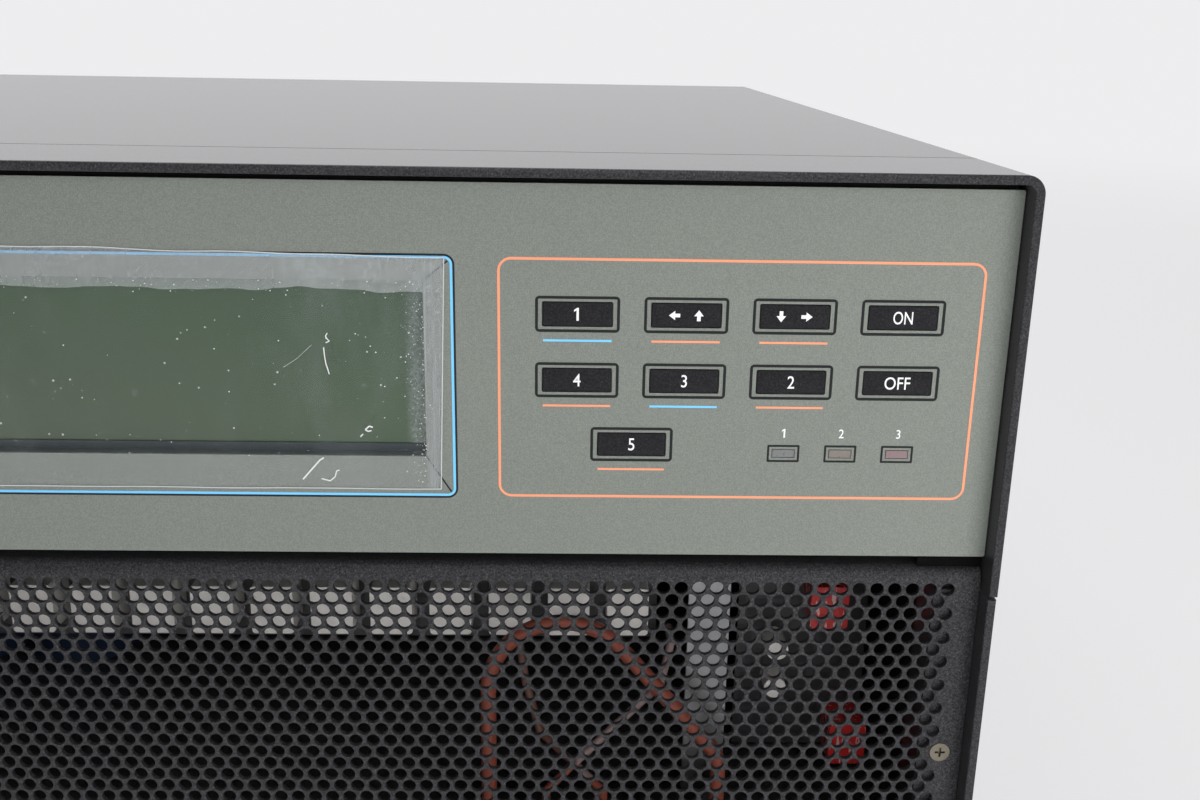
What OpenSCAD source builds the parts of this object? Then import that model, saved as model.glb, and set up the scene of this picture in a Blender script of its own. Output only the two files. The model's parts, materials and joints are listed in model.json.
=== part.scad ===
// Solid-state HF linear amplifier in a two-shell desktop case.
// X runs to the right, Y from the front to the rear, Z up. The origin lies under the
// middle of the whole body, on the surface that the feet stand on.

/* [Case] */
// Outer width of the upper shell
case_w = 400; // [380:1:480]
// Height of the case without its feet
case_h = 185; // [178:1:225]
// Depth from the front edge of the frame to the rear edge of the covers
case_d = 430; // [425:1:520]
// Thickness of the sheet that the shells are bent from
shell_t = 2; // [1.5:0.5:2.5]
// Outer radius of the long bends
shell_r = 4; // [3.5:0.5:8]
// Depth of the front frame, up to the seam of the covers
frame_d = 35; // [28:1:50]
// Width of the open seams between the shells
seam = 0.6; // [0.4:0.1:1.5]
// How far the lower shell stands in from the upper one on each side
lower_step = 0.2; // [0:0.1:0.5]

/* [Front panel] */
// How far the panel lies behind the front edge of the frame
panel_recess = 5.3; // [3:0.1:10]
// Distance from the top of the case to the panel's upper edge
panel_drop = 3.55; // [3:0.05:6]
// Height of the panel
panel_h = 81.1; // [78:0.1:95]
// Gap between the panel's ends and the shell
panel_side_gap = 0.2; // [0.1:0.1:0.5]
// Corner radius of the panel
panel_r = 0.4; // [0.2:0.1:2]
// Thickness of the aluminium plate
plate_t = 3; // [2.5:0.5:5]
// Thickness of the printed foil on it
foil_t = 0.5; // [0.3:0.1:0.8]
// Thickness of the peel-off film over the display
film_t = 0.15; // [0.1:0.05:0.3]

/* [Display] */
// Width of the display window
lcd_w = 149; // [120:1:150]
// Height of the display window
lcd_h = 38.3; // [30:0.1:45]
// Distance from the top of the case to the window's upper edge
lcd_drop = 23.9; // [20:0.1:30]
// Border of film round the window
film_border = 6.2; // [3:0.1:6.5]

/* [Keys] */
// Width of a key
key_w = 14.6; // [10:0.1:18]
// Height of a key
key_h = 5.1; // [4:0.1:8]
// Pressed travel of a key
key_travel = 0.5; // [0.3:0.1:0.8]
// Spacing of the key columns
key_pitch_x = 22.77; // [20:0.01:23]
// Spacing of the key rows
key_pitch_z = 14.25; // [10:0.05:15]
// Distance from the side of the case to the centre of the outermost column
key_inset = 25.1; // [24:0.1:30]
// Distance from the top of the case to the centre of the first row
key_drop = 30.55; // [28:0.05:34]
// Distance from the side of the case to the single key of the third row
lone_key_inset = 81.5; // [70:0.5:90]
// Gap round a key in the foil and the plate
key_gap = 0.15; // [0.1:0.05:0.3]

/* [Indicators] */
// Width of an indicator
led_w = 4.7; // [3:0.1:6]
// Height of an indicator
led_h = 1.7; // [1.5:0.1:3]
// Spacing of the indicators
led_pitch = 12.35; // [10:0.05:14]
// Distance from the side of the case to the outermost indicator
led_inset = 23.9; // [20:0.1:30]
// Distance from the top of the case to the indicators
led_drop = 60.8; // [60:0.1:64]

/* [Grille] */
// Gap between the panel and the grille
grille_gap = 2.8; // [1.5:0.1:4]
// Gap between the grille's ends and the lower shell
grille_side_gap = 0.1; // [0.1:0.1:0.5]
// Thickness of the perforated sheet
grille_t = 1.5; // [1:0.5:1.5]
// Outer radius of the bends along its upper and lower edges
grille_r = 3; // [2.5:0.5:4]
// Depth of its folded edges
grille_flange = 14; // [11:1:18]
// Diameter of a hole
hole_d = 6; // [4.5:0.5:6]
// Spacing of the holes in a row
hole_pitch_x = 8; // [8:0.5:12]
// Spacing of the rows
hole_pitch_z = 6; // [6:0.5:9]
// Least distance from the side of the case to the centre of a hole
hole_inset = 11.5; // [10:0.5:16]
// Least distance from the grille's upper or lower edge to the centre of a hole
hole_drop = 8; // [7.5:0.5:12]
// Distance from the side of the case to the screws of the grille
grille_screw_inset = 7.3; // [6.5:0.1:9]

/* [Screws] */
// Head diameter of the countersunk screws
flat_head_d = 4.8; // [4.5:0.1:5]
// Thread diameter of the countersunk screws
flat_thread_d = 2.5; // [2:0.5:2.5]
// Length of the countersunk screws
flat_screw_l = 8; // [6:1:10]
// Thread diameter of the pan-head screws
pan_thread_d = 3.5; // [3:0.5:4]
// Radial gap between a screw and its hole
screw_gap = 0.15; // [0.1:0.05:0.3]

/* [Chassis] */
// Width and depth of the corner posts
post_w = 10; // [9:1:14]
// Thickness of the side rails
rail_t = 3; // [2.5:0.5:4]
// Width of the ledge that carries the deck
ledge_w = 14; // [10:1:18]
// Height of the rails above the split
rail_rise = 16; // [14:1:20]
// Height of the rails below the split
rail_fall = 14; // [12:1:18]
// Thickness of the deck
deck_t = 1.5; // [1:0.5:2]

/* [Feet] */
// Height of a foot
foot_h = 14; // [8:1:25]
// Diameter of a foot where it meets the case
foot_d = 32; // [24:1:40]
// Diameter of a foot where it stands
foot_base_d = 27; // [20:1:36]
// Distance from a foot's centre to the side of the case
foot_inset_x = 36; // [24:1:60]
// Distance from a foot's centre to the front or rear edge
foot_inset_y = 68; // [62:1:90]

/* [Rear] */
// How far the rear panel lies inside the covers
rear_recess = 6; // [4:1:12]
// Thickness of the rear panel
rear_t = 2; // [1.5:0.5:3]
// Width of a fan
fan_w = 92; // [80:12:92]
// Depth of a fan
fan_d = 25; // [25:1:32]
// Radial gap between the blade tips and the duct
fan_tip_gap = 1.5; // [1:0.1:3]
// Number of blades
fan_blades = 7; // [5:2:9]
// Offset of the left and right fan from the middle of the case
fan_offset = [-120, 95];
// Thread diameter of the antenna sockets
socket_d = 15.9; // [15:0.1:16]
// Length of their thread
socket_l = 12.7; // [10:0.1:16]
// Spacing of the antenna sockets
socket_pitch = 40; // [32:1:44]
// Bore of the cable gland
gland_bore = 13; // [9:1:14]
// How far the cable gland stands out of the rear panel
gland_l = 28; // [22:1:34]
// Tilt of the power rocker to each side
rocker_tilt = 8; // [5:1:10]

/* [Inside] */
// Outer diameter of the mains transformer
core_d = 150; // [120:5:160]
// Height of the mains transformer
core_h = 64; // [50:1:70]
// Width of the heat sink
sink_w = 180; // [140:5:180]
// Length of the heat sink
sink_l = 230; // [180:5:235]
// Height of the fins
fin_h = 68; // [50:1:70]
// Thickness of a fin
fin_t = 2; // [1.5:0.5:3]
// Number of fins
fin_count = 24; // [16:1:26]
// Number of relays in the row behind the grille
relay_count = 14; // [10:1:15]
// Spacing of the relays
relay_pitch = 15.6; // [14:0.1:16]

/* [Hidden] */
KEY_SIDES = ["right", "left"];
KEYS_PER_SIDE = 9;
function key_name(side, i) = str("key_", KEY_SIDES[side], "_", i + 1);
$fn = 48;

// Small allowance by which a cut runs past the face that it opens
over = 1;
// Gap at which two neighbouring pieces are set when they don't touch
fit = 0.3;

// Case
split_z = case_h / 2;
upper_half = case_w / 2 - shell_t;
lower_half = upper_half - lower_step;
inner_r = shell_r - shell_t;
rear_reach = gland_l - rear_recess;
front_y = -(case_d + rear_reach) / 2;
cover_y = frame_d + seam;
rear_y = case_d - rear_recess;
rear_face = rear_y - rear_t;

// Front panel
panel_z = case_h - panel_drop - panel_h;
panel_half = upper_half - panel_side_gap;
plate_y = panel_recess + foil_t;
plate_back = plate_y + plate_t;
lcd_z = case_h - lcd_drop - lcd_h / 2;
lcd_board_w = lcd_w + 24;
lcd_board_h = lcd_h + 22;
lcd_glass_w = lcd_w + 6;
lcd_glass_h = lcd_h + 5;
lcd_glass_t = 2.8;
lcd_frame_t = 4.6;
board_t = 1.6;
stud_d = 5;

// Keys, as [X, Z] of their centres on the right-hand side
key_r = 0.25;
function key_place(i) = i < 8
  ? [case_w / 2 - key_inset - (i % 4) * key_pitch_x, case_h - key_drop - floor(i / 4) * key_pitch_z]
  : [case_w / 2 - lone_key_inset, case_h - key_drop - 2 * key_pitch_z];
function side_sign(side) = side == 0 ? 1 : -1;
function led_place(i) = [case_w / 2 - led_inset - i * led_pitch, case_h - led_drop];
cap_t = foil_t + 0.7;
pocket_t = cap_t - foil_t + key_travel + 0.4;
stem_d = 3;
stem_end = plate_back + 0.5;
switch_w = 6;
switch_y = plate_back + fit;
switch_t = 3.5;
switch_bore = stem_end + key_travel + 0.6 - switch_y;
key_board_y = switch_y + switch_t;
key_board_x = case_w / 2 - key_inset - 1.5 * key_pitch_x - 3;
key_board_z = case_h - key_drop - 1.1 * key_pitch_z;
key_board_w = 2 * (lower_half - post_w - fit - key_board_x);
key_board_h = 50;
stud_inset = 4;

// Chassis
post_x = lower_half - post_w;
post_y = plate_back;
post_step_y = panel_recess + grille_t;
post_top = case_h - shell_t;
ledge_y = max(post_y + post_w, panel_recess + grille_flange + fit);
rear_post_y = rear_face - post_w;
deck_z = panel_z - grille_gap;
deck_lap = 5;
deck_y = panel_recess + grille_flange - deck_lap;
side_screw_z = [26, case_h - 30];
cover_screw_rise = 11;
cover_screw_fall = 9;
cover_screw_y = [70, case_d / 2, case_d - 70];
flat_head_h = (flat_head_d - flat_thread_d) / 2;

// Grille
grille_half = lower_half - grille_side_gap;
grille_top = panel_z - grille_gap;
grille_lift = 1.5;
grille_bottom = shell_t + grille_lift;
grille_screw_z = (grille_top + grille_bottom) / 2;
flange_half = post_x - 0.5;
hole_cols = floor((case_w - 2 * hole_inset) / hole_pitch_x);
hole_rows = floor((grille_top - grille_bottom - 2 * hole_drop) / hole_pitch_z);
screw_dimple_d = flat_head_d + 3.2;

// Rear
fan_z = shell_t + 1.5 + fan_w / 2;
fan_bore_r = fan_w / 2 - 2;
fan_hole_pitch = fan_w - 9.5;
fan_hub_r = 19;
fan_shaft_r = 1.5;
fan_shaft_gap = 0.05;
fan_y = rear_face - fan_d;
fan_back_t = 3;
guard_wire = 1.6;
pan_head_d = 2 * pan_thread_d;
pan_head_h = 0.7 * pan_thread_d;
socket_z = case_h - 50;
socket_x = [for (i = [0:5]) (i - 2.5) * socket_pitch - 60];
socket_flange = 25.4;
socket_flange_t = 1.6;
rca_x = [118, 136, 154, 172];
rca_z = [case_h - 38, case_h - 60];
rca_d = 8.3;
dsub_x = [70, 112];
dsub_z = deck_z + 12;
gland_x = -38;
gland_z = 28;
gland_hex = 24;
switch_x = 12;
switch_z = 30;
rocker_w = 12;
rocker_h = 21;
rocker_pivot = 5;
switch_body_w = 18;
switch_body_h = 27;
switch_bezel = 2.5;
switch_depth = 16;
pivot_r = 1.5;
pivot_gap = 0.05;
ground_x = -12;
ground_z = 74;
ground_thread_d = 6;
ground_nut_t = 5;
ground_l = 16;

// Inside
core_x = fan_offset[0] + 8;
core_y = rear_face - fan_d - core_d / 2 - 20;
core_bore = 48;
clamp_t = 3;
clamp_d = 92;
core_bolt_d = 8;
core_pad = 1;
sink_x = lower_half - ledge_w - 2 - sink_w / 2;
sink_y = fan_y - sink_l - 12;
sink_base = 10;
sink_top = deck_z;
amp_board_w = 130;
amp_board_l = 170;
relay_y = 50;
relay_w = 11;
relay_d = 11;
relay_h = 13.5;
relay_z = deck_z - 40.4;
relay_x = 121;
relay_board_y = relay_y + relay_d;
right_board_x = 152;
right_board_w = 36;
bracket_x = 137;
bracket_w = 11;
bracket_t = 2;
bracket_y = 49;
terminal_h = 14;
terminal_x = 115;
terminal_y = 36;
terminal_pitch = 15;
lead_d = 4;
lead_span = 4 * terminal_pitch;
lead_top = 68;
lead_r = 19;
lead_end_r = 10;
lead_slope = 40;
thin_lead_d = 2.2;
joint_swell = 1.06;
trimmer_x = 162;
trimmer_z = [40, 51.5];
capacitor_places = [[174.5, 66], [182, 25]];
bank_y = 150;
bank_x = [-178, -140, -102, -64];
bank_d = 35;
bank_h = 50;

// Places the children in the frame of the case, whose origin is the middle of its lower front edge
module in_case() translate([0, front_y, foot_h]) children();

// Extrudes a drawing of the X-Z plane from the depth y towards the rear
module from_front(y, t) translate([0, y + t, 0]) rotate([90, 0, 0]) linear_extrude(height = t) children();

module both_sides() {
  children();
  mirror([1, 0, 0]) children();
}

module rounded_rect(w, h, r) {
  square([w - 2 * r, h], center = true);
  square([w, h - 2 * r], center = true);
  for (x = [-1, 1], y = [-1, 1]) translate([x * (w / 2 - r), y * (h / 2 - r)]) circle(r = r);
}

// Rod along Y that starts at the depth y
module rod_y(x, y, z, d, l) translate([x, y, z]) rotate([-90, 0, 0]) cylinder(d = d, h = l);

// Cross of a driver bit, cut into a head whose face is at z = 0
module cross_recess(w, depth) {
  for (a = [0, 90]) rotate([0, 0, a]) translate([-w / 2, -w / 10, -depth]) cube([w, w / 5, depth + over]);
}

// Countersunk screw along -Z with its head's face at z = 0
module flat_screw(l) {
  difference() {
    union() {
      translate([0, 0, -flat_head_h])
        cylinder(d1 = flat_thread_d, d2 = flat_head_d, h = flat_head_h);
      translate([0, 0, -l]) cylinder(d = flat_thread_d, h = l - flat_head_h);
    }
    cross_recess(flat_head_d / 2, flat_head_h * 0.7);
  }
}

// Hole for a countersunk screw, open above z = 0
module flat_screw_hole(l) {
  hole_r = flat_thread_d / 2 + screw_gap;
  head_r = flat_head_d / 2 + screw_gap;
  translate([0, 0, hole_r - head_r]) cylinder(r1 = hole_r, r2 = head_r, h = head_r - hole_r);
  translate([0, 0, -l - over]) cylinder(r = hole_r, h = l + 2 * over);
  cylinder(r = head_r, h = over);
}

// Pan-head screw along -Z with its seat at z = 0
module pan_screw(l) {
  difference() {
    union() {
      cylinder(d1 = pan_head_d, d2 = pan_head_d * 0.75, h = pan_head_h);
      translate([0, 0, -l]) cylinder(d = pan_thread_d, h = l);
    }
    translate([0, 0, pan_head_h]) cross_recess(pan_head_d / 2, pan_head_h * 0.6);
  }
}

// Repeats a right-hand side screw at every place along a side: frame, then covers
module at_side_screws(upper, cover) {
  ys = cover ? cover_screw_y : [post_y + post_w / 2];
  zs = cover ? [split_z + (upper ? cover_screw_rise : -cover_screw_fall)] : [side_screw_z[upper ? 1 : 0]];
  x = case_w / 2 - (upper ? 0 : lower_step);
  both_sides() for (y = ys, z = zs) translate([x, y, z]) rotate([0, 90, 0]) children();
}

module at_grille_screws() {
  both_sides()
    translate([case_w / 2 - grille_screw_inset, panel_recess, grille_screw_z]) rotate([90, 0, 0]) children();
}

module at_rear_screws() {
  both_sides() for (z = [18, split_z + 30, case_h - 18])
    translate([post_x + post_w / 2, rear_y, z]) rotate([-90, 0, 0]) children();
}

module at_fan_screws() {
  for (x = fan_offset, i = [-1, 1], j = [-1, 1])
    translate([x + i * fan_hole_pitch / 2, rear_y, fan_z + j * fan_hole_pitch / 2])
      rotate([-90, 0, 0]) children();
}

module at_feet() {
  both_sides() for (y = [foot_inset_y, case_d - foot_inset_y])
    translate([case_w / 2 - foot_inset_x, y, 0]) children();
}

// Shells

module shell_outline(w) {
  difference() {
    rounded_rect(w, case_h, shell_r);
    rounded_rect(w - 2 * shell_t, case_h - 2 * shell_t, inner_r);
  }
}

module upper_shell(y, l) {
  from_front(y, l) intersection() {
    translate([0, split_z]) shell_outline(case_w);
    translate([-case_w, split_z + seam / 2]) square([2 * case_w, case_h]);
  }
}

module lower_shell(y, l) {
  from_front(y, l) intersection() {
    translate([0, split_z]) shell_outline(case_w - 2 * lower_step);
    translate([-case_w, split_z - seam / 2 - case_h]) square([2 * case_w, case_h]);
  }
}

module front_frame_upper() color("#3c3c3f") in_case() difference() {
  upper_shell(0, frame_d);
  at_side_screws(true, false) flat_screw_hole(flat_screw_l);
}

module front_frame_lower() color("#3c3c3f") in_case() difference() {
  lower_shell(0, frame_d);
  at_side_screws(false, false) flat_screw_hole(flat_screw_l);
}

module top_cover() color("#434346") in_case() difference() {
  upper_shell(cover_y, case_d - cover_y);
  at_side_screws(true, true) flat_screw_hole(flat_screw_l);
}

module bottom_cover() color("#434346") in_case() difference() {
  lower_shell(cover_y, case_d - cover_y);
  at_side_screws(false, true) flat_screw_hole(flat_screw_l);
  at_feet() translate([0, 0, -over]) cylinder(r = pan_thread_d / 2 + screw_gap, h = shell_t + 2 * over);
  translate([core_x, core_y, -over]) cylinder(r = core_bolt_d / 2 + screw_gap, h = shell_t + 2 * over);
}

// Chassis

// Right-hand corner posts, joined by the rail that carries the deck
module side_bars() {
  for (y = [post_y, rear_post_y]) translate([post_x, y, shell_t]) cube([post_w, post_w, post_top - shell_t]);
  translate([post_x, post_step_y, grille_bottom + 2 * grille_r])
    cube([post_w, post_y - post_step_y + over, grille_top - grille_bottom - 4 * grille_r]);
  translate([lower_half - rail_t, post_y, split_z - rail_fall])
    cube([rail_t, rear_face - post_y, rail_rise + rail_fall]);
  translate([lower_half - ledge_w, ledge_y, deck_z - rail_t])
    cube([ledge_w, rear_post_y - ledge_y, rail_t]);
}

// Right-hand side frame, cut to the inside of the shells and drilled for every screw that it takes
module side_frame() {
  difference() {
    intersection() {
      from_front(0, case_d) translate([0, split_z])
        rounded_rect(2 * lower_half, case_h - 2 * shell_t, inner_r + fit);
      side_bars();
    }
    for (upper = [true, false], cover = [true, false]) at_side_screws(upper, cover) flat_screw_hole(flat_screw_l);
    at_grille_screws() flat_screw_hole(flat_screw_l);
    at_rear_screws() flat_screw_hole(flat_screw_l);
  }
}

module side_frame_right() color("#b9bcbf") in_case() side_frame();
module side_frame_left() color("#b9bcbf") in_case() mirror([1, 0, 0]) side_frame();

module mid_deck() color("#a8abad") in_case() translate([0, 0, deck_z]) linear_extrude(height = deck_t)
  difference() {
    deck_half = lower_half - rail_t - fit;
    translate([-deck_half, deck_y]) square([2 * deck_half, rear_face - fit - deck_y]);
    both_sides() for (y = [0, rear_post_y - fit])
      translate([post_x - fit, y]) square([post_w + over, post_y + post_w + fit]);
    translate([sink_x - amp_board_w / 2 - fit, sink_y + sink_l / 2 - amp_board_l / 2 - fit])
      square([amp_board_w + 2 * fit, amp_board_l + 2 * fit]);
  }

// Front panel

module at_keys(side) {
  for (i = [0:KEYS_PER_SIDE - 1]) translate([side_sign(side) * key_place(i)[0], key_place(i)[1]]) children();
}

module at_leds() {
  for (side = [0, 1], i = [0:2])
    translate([side_sign(side) * led_place(i)[0], led_place(i)[1]]) children();
}

// Outline of the panel with what shows through it
module panel_outline() {
  difference() {
    translate([0, panel_z + panel_h / 2]) rounded_rect(2 * panel_half, panel_h, panel_r);
    translate([0, lcd_z]) square([lcd_w, lcd_h], center = true);
    at_leds() square([led_w + 2 * key_gap, led_h + 2 * key_gap], center = true);
    children();
  }
}

module key_opening() rounded_rect(key_w + 2 * key_gap, key_h + 2 * key_gap, key_r + key_gap);

module at_board_studs() {
  for (side = [0, 1], i = [-1, 1], j = [-1, 1])
    translate([side_sign(side) * key_board_x + i * (key_board_w / 2 - stud_inset),
      key_board_z + j * (key_board_h / 2 - stud_inset)]) children();
}

module at_lcd_studs() {
  for (i = [-1, 1], j = [-1, 1])
    translate([i * (lcd_board_w / 2 - stud_inset), lcd_z + j * (lcd_board_h / 2 - stud_inset)]) children();
}

module front_plate() color("#8f9296") in_case() {
  difference() {
    from_front(plate_y, plate_t) panel_outline();
    for (side = [0, 1]) from_front(plate_y - over, pocket_t + over) at_keys(side) key_opening();
    for (side = [0, 1])
      from_front(plate_y, plate_t + over) at_keys(side) circle(d = stem_d + 4 * key_gap);
  }
  from_front(plate_back, key_board_y - plate_back) at_board_studs() circle(d = stud_d);
  from_front(plate_back, lcd_frame_t + fit) at_lcd_studs() circle(d = stud_d);
}

module panel_foil() color("#848a80") in_case() from_front(panel_recess, foil_t) panel_outline()
  for (side = [0, 1]) at_keys(side) key_opening();

module display_film() color("#b9c2bd") in_case() from_front(panel_recess - film_t, film_t)
  translate([0, lcd_z]) rounded_rect(lcd_w + 2 * film_border, lcd_h + 2 * film_border, shell_r / 3);

module lcd_glass() color("#5c7450") in_case() from_front(plate_back + fit, lcd_glass_t)
  translate([0, lcd_z]) square([lcd_glass_w, lcd_glass_h], center = true);

// Metal frame round the glass, with the circuit board behind it
module lcd_module() color("#2f3a33") in_case() {
  from_front(plate_back + fit, lcd_frame_t) difference() {
    translate([0, lcd_z]) rounded_rect(lcd_board_w - 5 * stud_inset, lcd_board_h - 3 * stud_inset, 2);
    translate([0, lcd_z]) square([lcd_glass_w + 2 * fit, lcd_glass_h + 2 * fit], center = true);
  }
  from_front(plate_back + fit + lcd_frame_t, board_t)
    translate([0, lcd_z]) square([lcd_board_w, lcd_board_h], center = true);
  from_front(plate_back + 2 * fit + lcd_glass_t, lcd_frame_t - lcd_glass_t)
    translate([0, lcd_z]) square([lcd_glass_w - 2, lcd_glass_h - 2], center = true);
}

// One key at the origin, its face towards -Y at y = 0
module key_cap() {
  from_front(0, cap_t) rounded_rect(key_w, key_h, key_r);
  from_front(cap_t, stem_end - panel_recess - cap_t) circle(d = stem_d);
}

module key(side, i) color("#26272a") in_case()
  translate([side_sign(side) * key_place(i)[0], panel_recess, key_place(i)[1]]) key_cap();

// Two boards with a short-travel switch behind every key
module key_boards() color("#2c4a3a") in_case() for (side = [0, 1]) {
  from_front(key_board_y, board_t)
    translate([side_sign(side) * key_board_x, key_board_z]) square([key_board_w, key_board_h], center = true);
  difference() {
    from_front(switch_y, switch_t) at_keys(side) square(switch_w, center = true);
    from_front(switch_y - over, switch_bore + over) at_keys(side) circle(d = stem_d + 4 * key_gap);
  }
}

module status_leds() color("#a08d80") in_case()
  from_front(panel_recess, key_board_y - panel_recess) at_leds() square([led_w, led_h], center = true);

// Perforated sheet with folded upper and lower edges

module grille_holes() {
  x0 = (hole_cols - 1) * hole_pitch_x / 2;
  z0 = grille_screw_z - (hole_rows - 1) * hole_pitch_z / 2;
  screw_x = case_w / 2 - grille_screw_inset;
  for (row = [0:hole_rows - 1], col = [0:hole_cols - 1 - row % 2]) {
    x = col * hole_pitch_x - x0 + (row % 2) * hole_pitch_x / 2;
    z = z0 + row * hole_pitch_z;
    if (norm([abs(x) - screw_x, z - grille_screw_z]) > (screw_dimple_d + hole_d) / 2)
      translate([x, z]) circle(d = hole_d);
  }
}

// Quarter bend from the sheet's edge at z = 0 to the folded flange, for half_w to each side
module grille_fold() {
  translate([-grille_half, grille_r, 0]) rotate([90, 0, 90]) linear_extrude(height = 2 * grille_half)
    intersection() {
      difference() {
        circle(r = grille_r);
        circle(r = grille_r - grille_t);
      }
      translate([-grille_r, 0]) square(grille_r);
    }
  translate([-flange_half, grille_r, grille_r - grille_t])
    cube([2 * flange_half, grille_flange - grille_r, grille_t]);
}

module front_grille() color("#3a3a3d") in_case() difference() {
  union() {
    from_front(panel_recess, grille_t) difference() {
      translate([-grille_half, grille_bottom + grille_r])
        square([2 * grille_half, grille_top - grille_bottom - 2 * grille_r]);
      grille_holes();
    }
    translate([0, panel_recess, grille_top - grille_r]) grille_fold();
    translate([0, panel_recess, grille_bottom + grille_r]) mirror([0, 0, 1]) grille_fold();
  }
  at_grille_screws() flat_screw_hole(flat_screw_l);
}

module case_screws() color("#b5b09c") in_case() {
  for (upper = [true, false], cover = [true, false]) at_side_screws(upper, cover) flat_screw(flat_screw_l);
  at_grille_screws() flat_screw(flat_screw_l);
  at_rear_screws() flat_screw(flat_screw_l);
  at_fan_screws() translate([0, 0, guard_wire]) pan_screw(fan_d + guard_wire);
  at_feet() translate([0, 0, -foot_h / 2]) mirror([0, 0, 1]) pan_screw(foot_h / 2 + shell_t + 3);
}

// Rubber foot with a well for its screw
module foot() {
  well_d = pan_head_d + 3;
  rotate_extrude() polygon([
    [pan_thread_d / 2 + screw_gap, 0], [foot_d / 2, 0], [foot_d / 2, -foot_h / 5],
    [foot_base_d / 2, -foot_h + 1], [foot_base_d / 2 - 1, -foot_h],
    [well_d / 2, -foot_h], [well_d / 2, -foot_h / 2],
    [pan_thread_d / 2 + screw_gap, -foot_h / 2]]);
}

module feet() color("#232324") in_case() at_feet() foot();

// Rear

module rear_panel() color("#404043") in_case() difference() {
  from_front(rear_face, rear_t) difference() {
    translate([0, split_z]) rounded_rect(2 * (lower_half - fit), case_h - 2 * (shell_t + fit), inner_r);
    for (x = fan_offset) translate([x, fan_z]) circle(r = fan_bore_r);
    for (x = fan_offset, i = [-1, 1], j = [-1, 1])
      translate([x + i * fan_hole_pitch / 2, fan_z + j * fan_hole_pitch / 2])
        circle(r = pan_thread_d / 2 + screw_gap);
    for (x = socket_x) translate([x, socket_z]) circle(d = socket_d);
    for (x = rca_x, z = rca_z) translate([x, z]) circle(d = rca_d);
    for (x = dsub_x) translate([x, dsub_z]) rounded_rect(22, 11.5, 2);
    translate([gland_x, gland_z]) circle(d = gland_bore + 6);
    translate([switch_x, switch_z]) square([switch_body_w + fit, switch_body_h + fit], center = true);
    translate([ground_x, ground_z]) circle(d = ground_thread_d + 2 * screw_gap);
  }
  at_rear_screws() flat_screw_hole(flat_screw_l);
}

// Coaxial socket with a square flange: the thread, its liner and the solder pin behind the panel
module antenna_sockets() color("#b7b9bb") in_case() for (x = socket_x) translate([x, 0, socket_z]) {
  from_front(rear_y, socket_flange_t) difference() {
    rounded_rect(socket_flange, socket_flange, 1.5);
    for (i = [-1, 1], j = [-1, 1]) translate([i * 9.1, j * 9.1]) circle(d = 3.2);
    circle(d = 8);
  }
  difference() {
    rod_y(0, rear_y + socket_flange_t, 0, socket_d, socket_l);
    rod_y(0, rear_y, 0, 12.6, socket_l + socket_flange_t + over);
  }
  difference() {
    union() {
      rod_y(0, rear_y, 0, 12.6, socket_flange_t + 2);
      rod_y(0, rear_y, 0, 8, socket_l);
      rod_y(0, rear_face - 6, 0, 11, 6 + rear_t);
      rod_y(0, rear_face - 13, 0, 4, 7);
    }
    rod_y(0, rear_y + socket_flange_t + 2, 0, 4, socket_l);
  }
}

module signal_sockets() color("#c7b27a") in_case() for (x = rca_x, z = rca_z) {
  difference() {
    union() {
      rod_y(x, rear_y, z, 12, 2);
      rod_y(x, rear_y, z, rca_d, 11);
    }
    rod_y(x, rear_y + 2, z, rca_d - 1.6, 10);
  }
  difference() {
    rod_y(x, rear_y, z, 5.6, 10.5);
    rod_y(x, rear_y + 2, z, 3.2, 10);
  }
  rod_y(x, rear_face - 5, z, rca_d - 2 * screw_gap, 5 + rear_t);
}

// Nine-way socket: flange, sleeve and insert, with its two jack posts
module control_sockets() color("#9ea2a6") in_case() for (x = dsub_x) translate([x, 0, dsub_z]) {
  from_front(rear_y, 1) rounded_rect(31, 12.5, 1.5);
  from_front(rear_y + 1, 5) rounded_rect(17, 8.4, 2.5);
  from_front(rear_face - 8, 8 + rear_t) rounded_rect(18, 10, 1);
  for (i = [-1, 1]) rod_y(i * 12.5, rear_y + 1, 0, 4.8, 5);
}

module cable_gland() color("#2a2a2c") in_case() translate([gland_x, 0, gland_z]) difference() {
  union() {
    translate([0, rear_y + 6, 0]) rotate([90, 30, 0]) cylinder(d = gland_hex, h = 6, $fn = 6);
    rod_y(0, rear_y + 6, 0, gland_bore + 8, 5);
    rod_y(0, rear_y + 11, 0, gland_bore + 5, gland_l - 15);
    translate([0, rear_y + gland_l - 4, 0]) rotate([-90, 0, 0])
      cylinder(d1 = gland_bore + 5, d2 = gland_bore + 2.5, h = 4);
    rod_y(0, rear_face - 5, 0, gland_bore + 6 - 2 * screw_gap, 5 + rear_t + over);
    translate([0, rear_face, 0]) rotate([90, 30, 0]) cylinder(d = gland_hex, h = 4.5, $fn = 6);
  }
  rod_y(0, rear_face - 5 - over, 0, gland_bore, gland_l + rear_t + 5 + 2 * over);
}

// Housing of the power switch, open to the rear, with the pivot holes of the rocker
module power_switch() color("#202022") in_case() translate([switch_x, 0, switch_z]) difference() {
  union() {
    from_front(rear_y, 1.6)
      rounded_rect(switch_body_w + 2 * switch_bezel, switch_body_h + 2 * switch_bezel, 1.5);
    from_front(rear_face - switch_depth, switch_depth + rear_t)
      square([switch_body_w, switch_body_h], center = true);
  }
  from_front(rear_y - switch_depth / 2 - 2, switch_depth) square([rocker_w + 2 * fit, rocker_h + 2], center = true);
  translate([-switch_body_w / 2 - over, rear_y - rocker_pivot, 0]) rotate([0, 90, 0])
    cylinder(r = pivot_r + pivot_gap, h = switch_body_w + 2 * over);
}

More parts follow.
